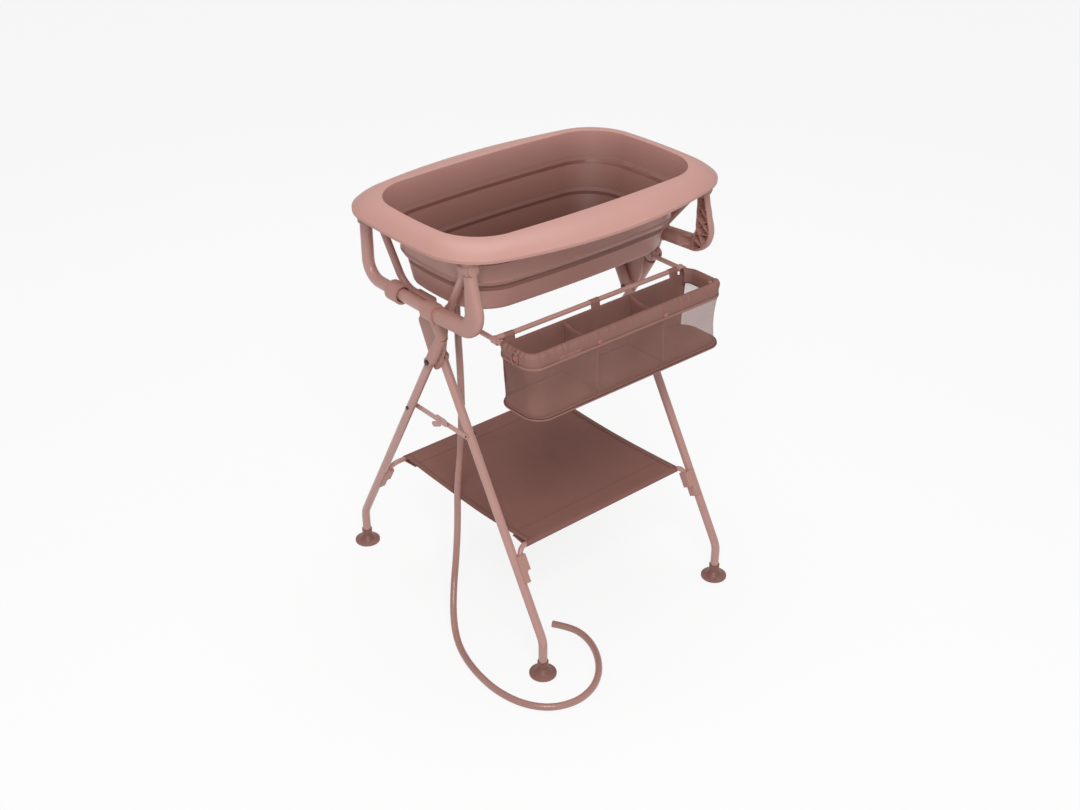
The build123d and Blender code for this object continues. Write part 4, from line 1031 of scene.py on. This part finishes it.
# Dividers: two stiffened cloth walls across the bag, with bound edges and a folded seam that runs
# from the front corner to the floor at the back.
divider_low, divider_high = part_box("basket_dividers")
divider_x = divider_high[0] - 0.0008
binding_radius = 0.0012
divider_levels = 12
divider_steps = 24
divider_belly = 0.0035
divider_dip = 0.010
gap_under_band = 0.0052
gap_in_band = 0.0215
front_point = sum(ring_steps[:4]) + 9
seam_across = (divider_steps, *range(divider_steps - 1, 2, -2), 0)
divider_pieces = []
for side, side_name in ((-1, "left"), (1, "right")):
    rows = []
    for level in range(divider_levels + 1):
        share = level / divider_levels
        height = divider_low[2] + (divider_high[2] - divider_low[2]) * share
        ring_front = bag_ring(min(height, band_top))[front_point][1]
        near = ring_front + (gap_under_band if height < band_bottom else gap_in_band)
        far = divider_high[1] - 0.001
        row = []
        for step in range(divider_steps + 1):
            part = step / divider_steps
            belly = math.sin(math.pi * part) * math.sin(math.pi * min(1.0, share + 0.1))
            ripple = noise.noise(Vector((part * 3.0, share * 2.4, 5.0 + side)))
            x = side * divider_x + divider_belly * belly * ripple
            dip = divider_dip * math.sin(math.pi * part) * share ** 4
            row.append(Vector((x, far + (near - far) * part, height - dip)))
        rows.append(row)
    sheet = skin(f"basket_divider_{side_name}", rows, back_cloth, cloth_thin)
    edge = [row[0] for row in reversed(rows)] + rows[0][1:-1]
    edge += [row[-1] for row in rows] + rows[-1][-2:0:-1]
    bound = piping(f"basket_divider_binding_{side_name}", edge, binding_radius, binding_cloth,
                   closed=True, sides=3)
    seam_points = [row[across] for row, across in zip(reversed(rows), seam_across)]
    seam = piping(f"basket_divider_seam_{side_name}", seam_points, binding_radius * 0.7,
                  binding_cloth, sides=2)
    divider_pieces += [sheet, bound, seam]

# Board: a stiff panel sewn into the bag's floor, edged above with a dark piping and below with a
# paler one, which gives the basket its rounded lip.
board_half = board_high[0]
board_front, board_back = board_low[1], board_high[1]
board_under, board_face = board_low[2], board_high[2]
board_corner = 0.044
board_edge = 0.0019
board_steps = 16


def rounded(corners, radius, steps):
    """Pairs of coordinates round an outline, from the middle and first angle of each round corner."""
    pairs = []
    for across, up, start in corners:
        for step in range(steps + 1):
            turn = math.radians(start + 90 * step / steps)
            pairs.append((across + radius * math.cos(turn), up + radius * math.sin(turn)))
    return pairs


def board_ring(height, inset):
    """Points round the board at a height, drawn in by an inset."""
    left_x, right_x = -board_half + board_corner, board_half - board_corner
    near_y, far_y = board_front + board_corner, board_back - board_corner
    corners = ((left_x, far_y, 90), (left_x, near_y, 180), (right_x, near_y, 270), (right_x, far_y, 0))
    return [Vector((x, y, height)) for x, y in rounded(corners, board_corner - inset, board_steps)]


board_levels = ((board_under + 0.0006, 0.030), (board_under + 0.0004, 0.004),
                (board_under + 0.0012, 0.0016), (board_under + 0.003, 0.0011),
                (board_face - 0.0014, 0.0024), (board_face - 0.0004, 0.005), (board_face - 0.0002, 0.030))
board_edit = bmesh.new()
loft(board_edit, [board_ring(*level) for level in board_levels])
board_map = board_edit.loops.layers.uv.new("cloth")
for face in board_edit.faces:
    for corner_loop in face.loops:
        corner_loop[board_map].uv = corner_loop.vert.co.xy
board_mesh = settle(board_edit, "basket_board_cloth")
bag_board = fit("basket_board_panel", board_mesh, back_cloth)
for face in board_mesh.polygons:
    face.use_smooth = len(face.vertices) == 4
piping_dark = woven("dark_piping", tone(96, 64, 57), tone(84, 55, 49), 900.0, 0.6)
board_pipe_top = piping("basket_board_piping_top", board_ring(board_face - 0.0012, 0.0020), 0.0012,
                        piping_dark, closed=True, sides=3)
low_ring = board_ring(board_under + board_edge + 0.0002, board_edge)
board_pipe_low = piping("basket_board_piping_low", low_ring, board_edge, binding_cloth,
                        closed=True, sides=4)

# Loops, snaps, patch and eyelet: three cloth loops hold the back to the rail, two pink snaps close
# the band on the dividers, a bare rubber patch is sewn to its front and an eyelet to its left end.
loop_low, loop_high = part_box("basket_loops")
loop_width = 0.026
loop_reach = 0.0068
loop_steps = 14
loop_parts = 8
tail_steps = 3
tail_gap = 0.0008
tail_drop = 0.024
tail_rise = 0.008
loop_middles = (loop_low[0] + loop_width / 2, 0.0, loop_high[0] - loop_width / 2)
loop_cloth = woven("loop_cloth", tone(170, 122, 111), tone(152, 108, 98), 640.0, 0.72)
loop_pieces = []
for number, middle in enumerate(loop_middles):
    rows = []
    for step in range(loop_steps + 1):
        if step < tail_steps:
            y, z = bag_back + tail_gap, rail_z - tail_drop + tail_rise * step
        else:
            turn = math.radians(210 - 270 * (step - tail_steps) / (loop_steps - tail_steps))
            y, z = rail_y + loop_reach * math.cos(turn), rail_z + loop_reach * math.sin(turn)
        waist = 1 - 0.06 * math.sin(math.pi * step / loop_steps)
        row = []
        for part in range(loop_parts + 1):
            across = middle + loop_width * (part / loop_parts - 0.5) * waist
            puff = 0.0005 * noise.noise(Vector((across * 120, step * 0.6, number)))
            row.append(Vector((across, y, z + puff)))
        rows.append(row)
    loop_pieces.append(skin(f"basket_loop_{number + 1}", rows, loop_cloth, binding_thick))

snap_plastic = Finish("snap_plastic", tone(186, 112, 96), 0.35)
snap_plastic.cloudy(90.0, tone(178, 104, 89), tone(194, 120, 103))
snap_low, snap_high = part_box("basket_snaps")
snap_z = (snap_low[2] + snap_high[2]) / 2
snap_y = snap_low[1] + 0.0009
snaps = Tree("snap_studs", Radius=0.0055)
stud_ball = snaps.add("GeometryNodeMeshUVSphere", Segments=28, Rings=14,
                      Radius=snaps.inputs.outputs["Radius"])
stud_dome = snaps.add("GeometryNodeTransform", Geometry=stud_ball, Scale=(1.0, 1.0, 0.2))
stud_rim = snaps.add("GeometryNodeMeshUVSphere", Segments=24, Rings=10, Radius=0.0027)
stud_middle = snaps.add("GeometryNodeTransform", Geometry=stud_rim, Scale=(1.0, 1.0, 0.32),
                        Translation=(0, 0, 0.0008))
set_on_points(snaps, (stud_dome, stud_middle), snap_plastic)
snap_spots = [((side * (divider_x - 0.001), snap_y, snap_z), (0.0, -1.0, 0.0)) for side in (-1, 1)]
snap_studs = snaps.make("basket_snap_studs", facing_points("snap_points", snap_spots))

patch_low, patch_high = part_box("basket_patch")
patch_rubber = Finish("patch_rubber", tone(166, 118, 107), 0.5)
patch_rubber.cloudy(80.0, tone(158, 111, 101), tone(172, 124, 113))
patch_rubber.grain(900.0, 2.0, 0.15, 0.0003)
patch_y = patch_low[1] + 0.0006
patch_corner = 0.0026
patch_most_inset = 0.0014
patch_steps = 6


def patch_ring(inset, y):
    """Rounded rectangle of the patch, drawn in by an inset, at a depth."""
    radius = patch_corner - min(inset, patch_most_inset)
    x0, x1 = patch_low[0] + inset, patch_high[0] - inset
    z0, z1 = patch_low[2] + inset, patch_high[2] - inset
    corners = ((x1 - radius, z1 - radius, 0), (x0 + radius, z1 - radius, 90),
               (x0 + radius, z0 + radius, 180), (x1 - radius, z0 + radius, 270))
    return [Vector((x, y, z)) for x, z in rounded(corners, radius, patch_steps)]


patch_edit = bmesh.new()
patch_levels = ((0.0, patch_y + 0.0022), (0.0, patch_y + 0.0005), (0.0005, patch_y), (0.0011, patch_y),
                (0.0015, patch_y + 0.0007), (0.0026, patch_y + 0.0008))
loft(patch_edit, [patch_ring(*level) for level in patch_levels])
patch = fit("basket_bare_patch", settle(patch_edit, "basket_patch_rubber"), patch_rubber)

eyelet_x = -(bag_half + 0.0006)
eyelet_y = (bag_front + bag_back) / 2 - 0.006
eyelet_z = band_bottom + 0.0155
eyelet_half_width = 0.0098
eyelet_half_height = 0.0138
eyelet_steps = 40
eyelet_points = []
for step in range(eyelet_steps):
    turn = math.tau * step / eyelet_steps
    eyelet_points.append(Vector((eyelet_x, eyelet_y + eyelet_half_width * math.cos(turn),
                                 eyelet_z + eyelet_half_height * math.sin(turn))))
eyelet = piping("basket_eyelet", eyelet_points, 0.0016, binding_cloth, closed=True, sides=4)
eyelet_spot = ((eyelet_x + 0.0008, eyelet_y, eyelet_z), (-1.0, 0.0, 0.0))
eyelet_stud = snaps.make("basket_eyelet_stud", facing_points("eyelet_point", [eyelet_spot]))

for piece, node in ((bag_mesh, "basket_bag"), (bag_band, "basket_band"), (bag_board, "basket_board"),
                    (divider_pieces[0], "basket_dividers"), (loop_pieces[1], "basket_loops"),
                    (snap_studs, "basket_snaps"), (patch, "basket_patch")):
    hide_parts(node)
sewn_pieces = [bag_back_sheet, back_hem, bag_band, bag_binding, band_stitches, bag_board, board_pipe_top,
               board_pipe_low, *divider_pieces, *loop_pieces]
for piece, slot_name in ((bag_mesh, "bag_mesh"), *((sewn, "bag_fabric") for sewn in sewn_pieces),
                         (snap_studs, "dark_steel"), (patch, "patch_rubber"), (eyelet, "bag_fabric"),
                         (eyelet_stud, "dark_steel")):
    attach(piece, "basket")
cut_size(back_rows)
cut_size(band_rows)

# Drain hose: a soft, slightly glossy tube that hangs from the spigot under the tub's floor, passes
# between the legs and lies in a loose curl on the floor, where its end is cut.
hose_diameter = 0.016
hose_route = [
    (-222, 12, 790), (-222, 12, 700), (-218, 12, 610), (-220, 9, 510), (-228, 6, 410),
    (-245, 2, 315), (-251, -3, 225), (-267, -15, 145), (-300, -44, 80), (-335, -86, 33),
    (-362, -135, 9), (-384, -196, 8), (-396, -262, 8), (-397, -330, 8), (-380, -394, 8),
    (-344, -441, 8), (-290, -463, 8), (-236, -457, 8), (-190, -430, 8), (-155, -390, 8),
    (-132, -344, 8), (-124, -298, 8), (-134, -260, 8), (-154, -229, 8),
]
hose_places = [(x / 1000, y / 1000, z / 1000) for x, y, z in hose_route]
hose_curve, hose_spline = round_curve("drain_hose_tube", "NURBS", hose_places, hose_diameter / 2, 8)
hose_curve.resolution_u = 24
hose_spline.order_u = 3
hose_spline.use_endpoint_u = True
hose = put("drain_hose_tube", hose_curve)
hose_finish = Finish("hose_plastic", tone(186, 138, 127), 0.22, Coat_Weight=0.3)
hose_finish.cloudy(12.0, tone(168, 121, 111), tone(196, 149, 138), 3.0)
hose_finish.sheen(40.0, 0.15, 0.18)
hose_finish.grain(70.0, 2.0, 0.2, 0.0012)
hose_curve.materials.append(hose_finish.material)
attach(hose, "tub_tray")
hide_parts("drain_hose")

# Floor and light: a plain white floor and backdrop with soft, even studio light from above and
# from the left, which leaves only a faint shadow.
floor_mesh = bpy.data.meshes.new("studio_floor")
floor_edit = bmesh.new()
bmesh.ops.create_grid(floor_edit, x_segments=1, y_segments=1, size=12.0)
floor_edit.to_mesh(floor_mesh)
floor_edit.free()
floor = put("studio_floor", floor_mesh)
floor_lift = 0.82
floor_glow = 1.04
white = (1.0, 1.0, 1.0, 1.0)
floor_finish = Finish("studio_floor", (0.80, 0.80, 0.80, 1.0), 0.9)
seen = floor_finish.add("ShaderNodeLightPath")
glossy_seen = Wire(floor_finish, seen.socket.node.outputs["Is Glossy Ray"])
clear_seen = Wire(floor_finish, seen.socket.node.outputs["Is Transmission Ray"])
lift = (seen + glossy_seen + clear_seen).held() * floor_lift
white_glow = floor_finish.add("ShaderNodeEmission", None, white, floor_glow)
plain = Wire(floor_finish, floor_finish.surface.outputs[0])
floor_mix = floor_finish.add("ShaderNodeMixShader", None, lift, plain, white_glow)
floor_finish.tree.links.new(floor_mix.socket, floor_finish.tree.nodes["Material Output"].inputs[0])
floor_mesh.materials.append(floor_finish.material)

sky_light = 0.43
world = bpy.data.worlds.new("studio_world")
bpy.context.scene.world = world
world.use_nodes = True
sky_nodes = world.node_tree.nodes
sky = sky_nodes["Background"]
sky.inputs["Color"].default_value = white
sky_paths = sky_nodes.new("ShaderNodeLightPath")
sky_seen = sky_nodes.new("ShaderNodeMath")
sky_seen.operation = "MAXIMUM"
sky_strength = sky_nodes.new("ShaderNodeMapRange")
sky_strength.inputs["To Min"].default_value = sky_light
sky_strength.inputs["To Max"].default_value = 1.0
for start, end in ((sky_paths.outputs["Is Camera Ray"], sky_seen.inputs[0]),
                   (sky_paths.outputs["Is Transmission Ray"], sky_seen.inputs[1]),
                   (sky_seen.outputs[0], sky_strength.inputs["Value"]),
                   (sky_strength.outputs[0], sky.inputs["Strength"])):
    world.node_tree.links.new(start, end)


def lamp(name, place, target, size, power):
    """Square softbox that faces a target."""
    data = bpy.data.lights.new(name, "AREA")
    data.energy = power
    data.size = size
    box = put(name, data)
    box.location = place
    box.rotation_euler = (Vector(target) - Vector(place)).to_track_quat("-Z", "Y").to_euler()


lamp("key_softbox", (-1.7, -2.2, 3.2), (0, 0, 0.7), 1.5, 62)
lamp("top_softbox", (0.4, 0.6, 3.6), (0, 0, 0.7), 2.0, 30)
bpy.context.scene.view_settings.view_transform = "Standard"
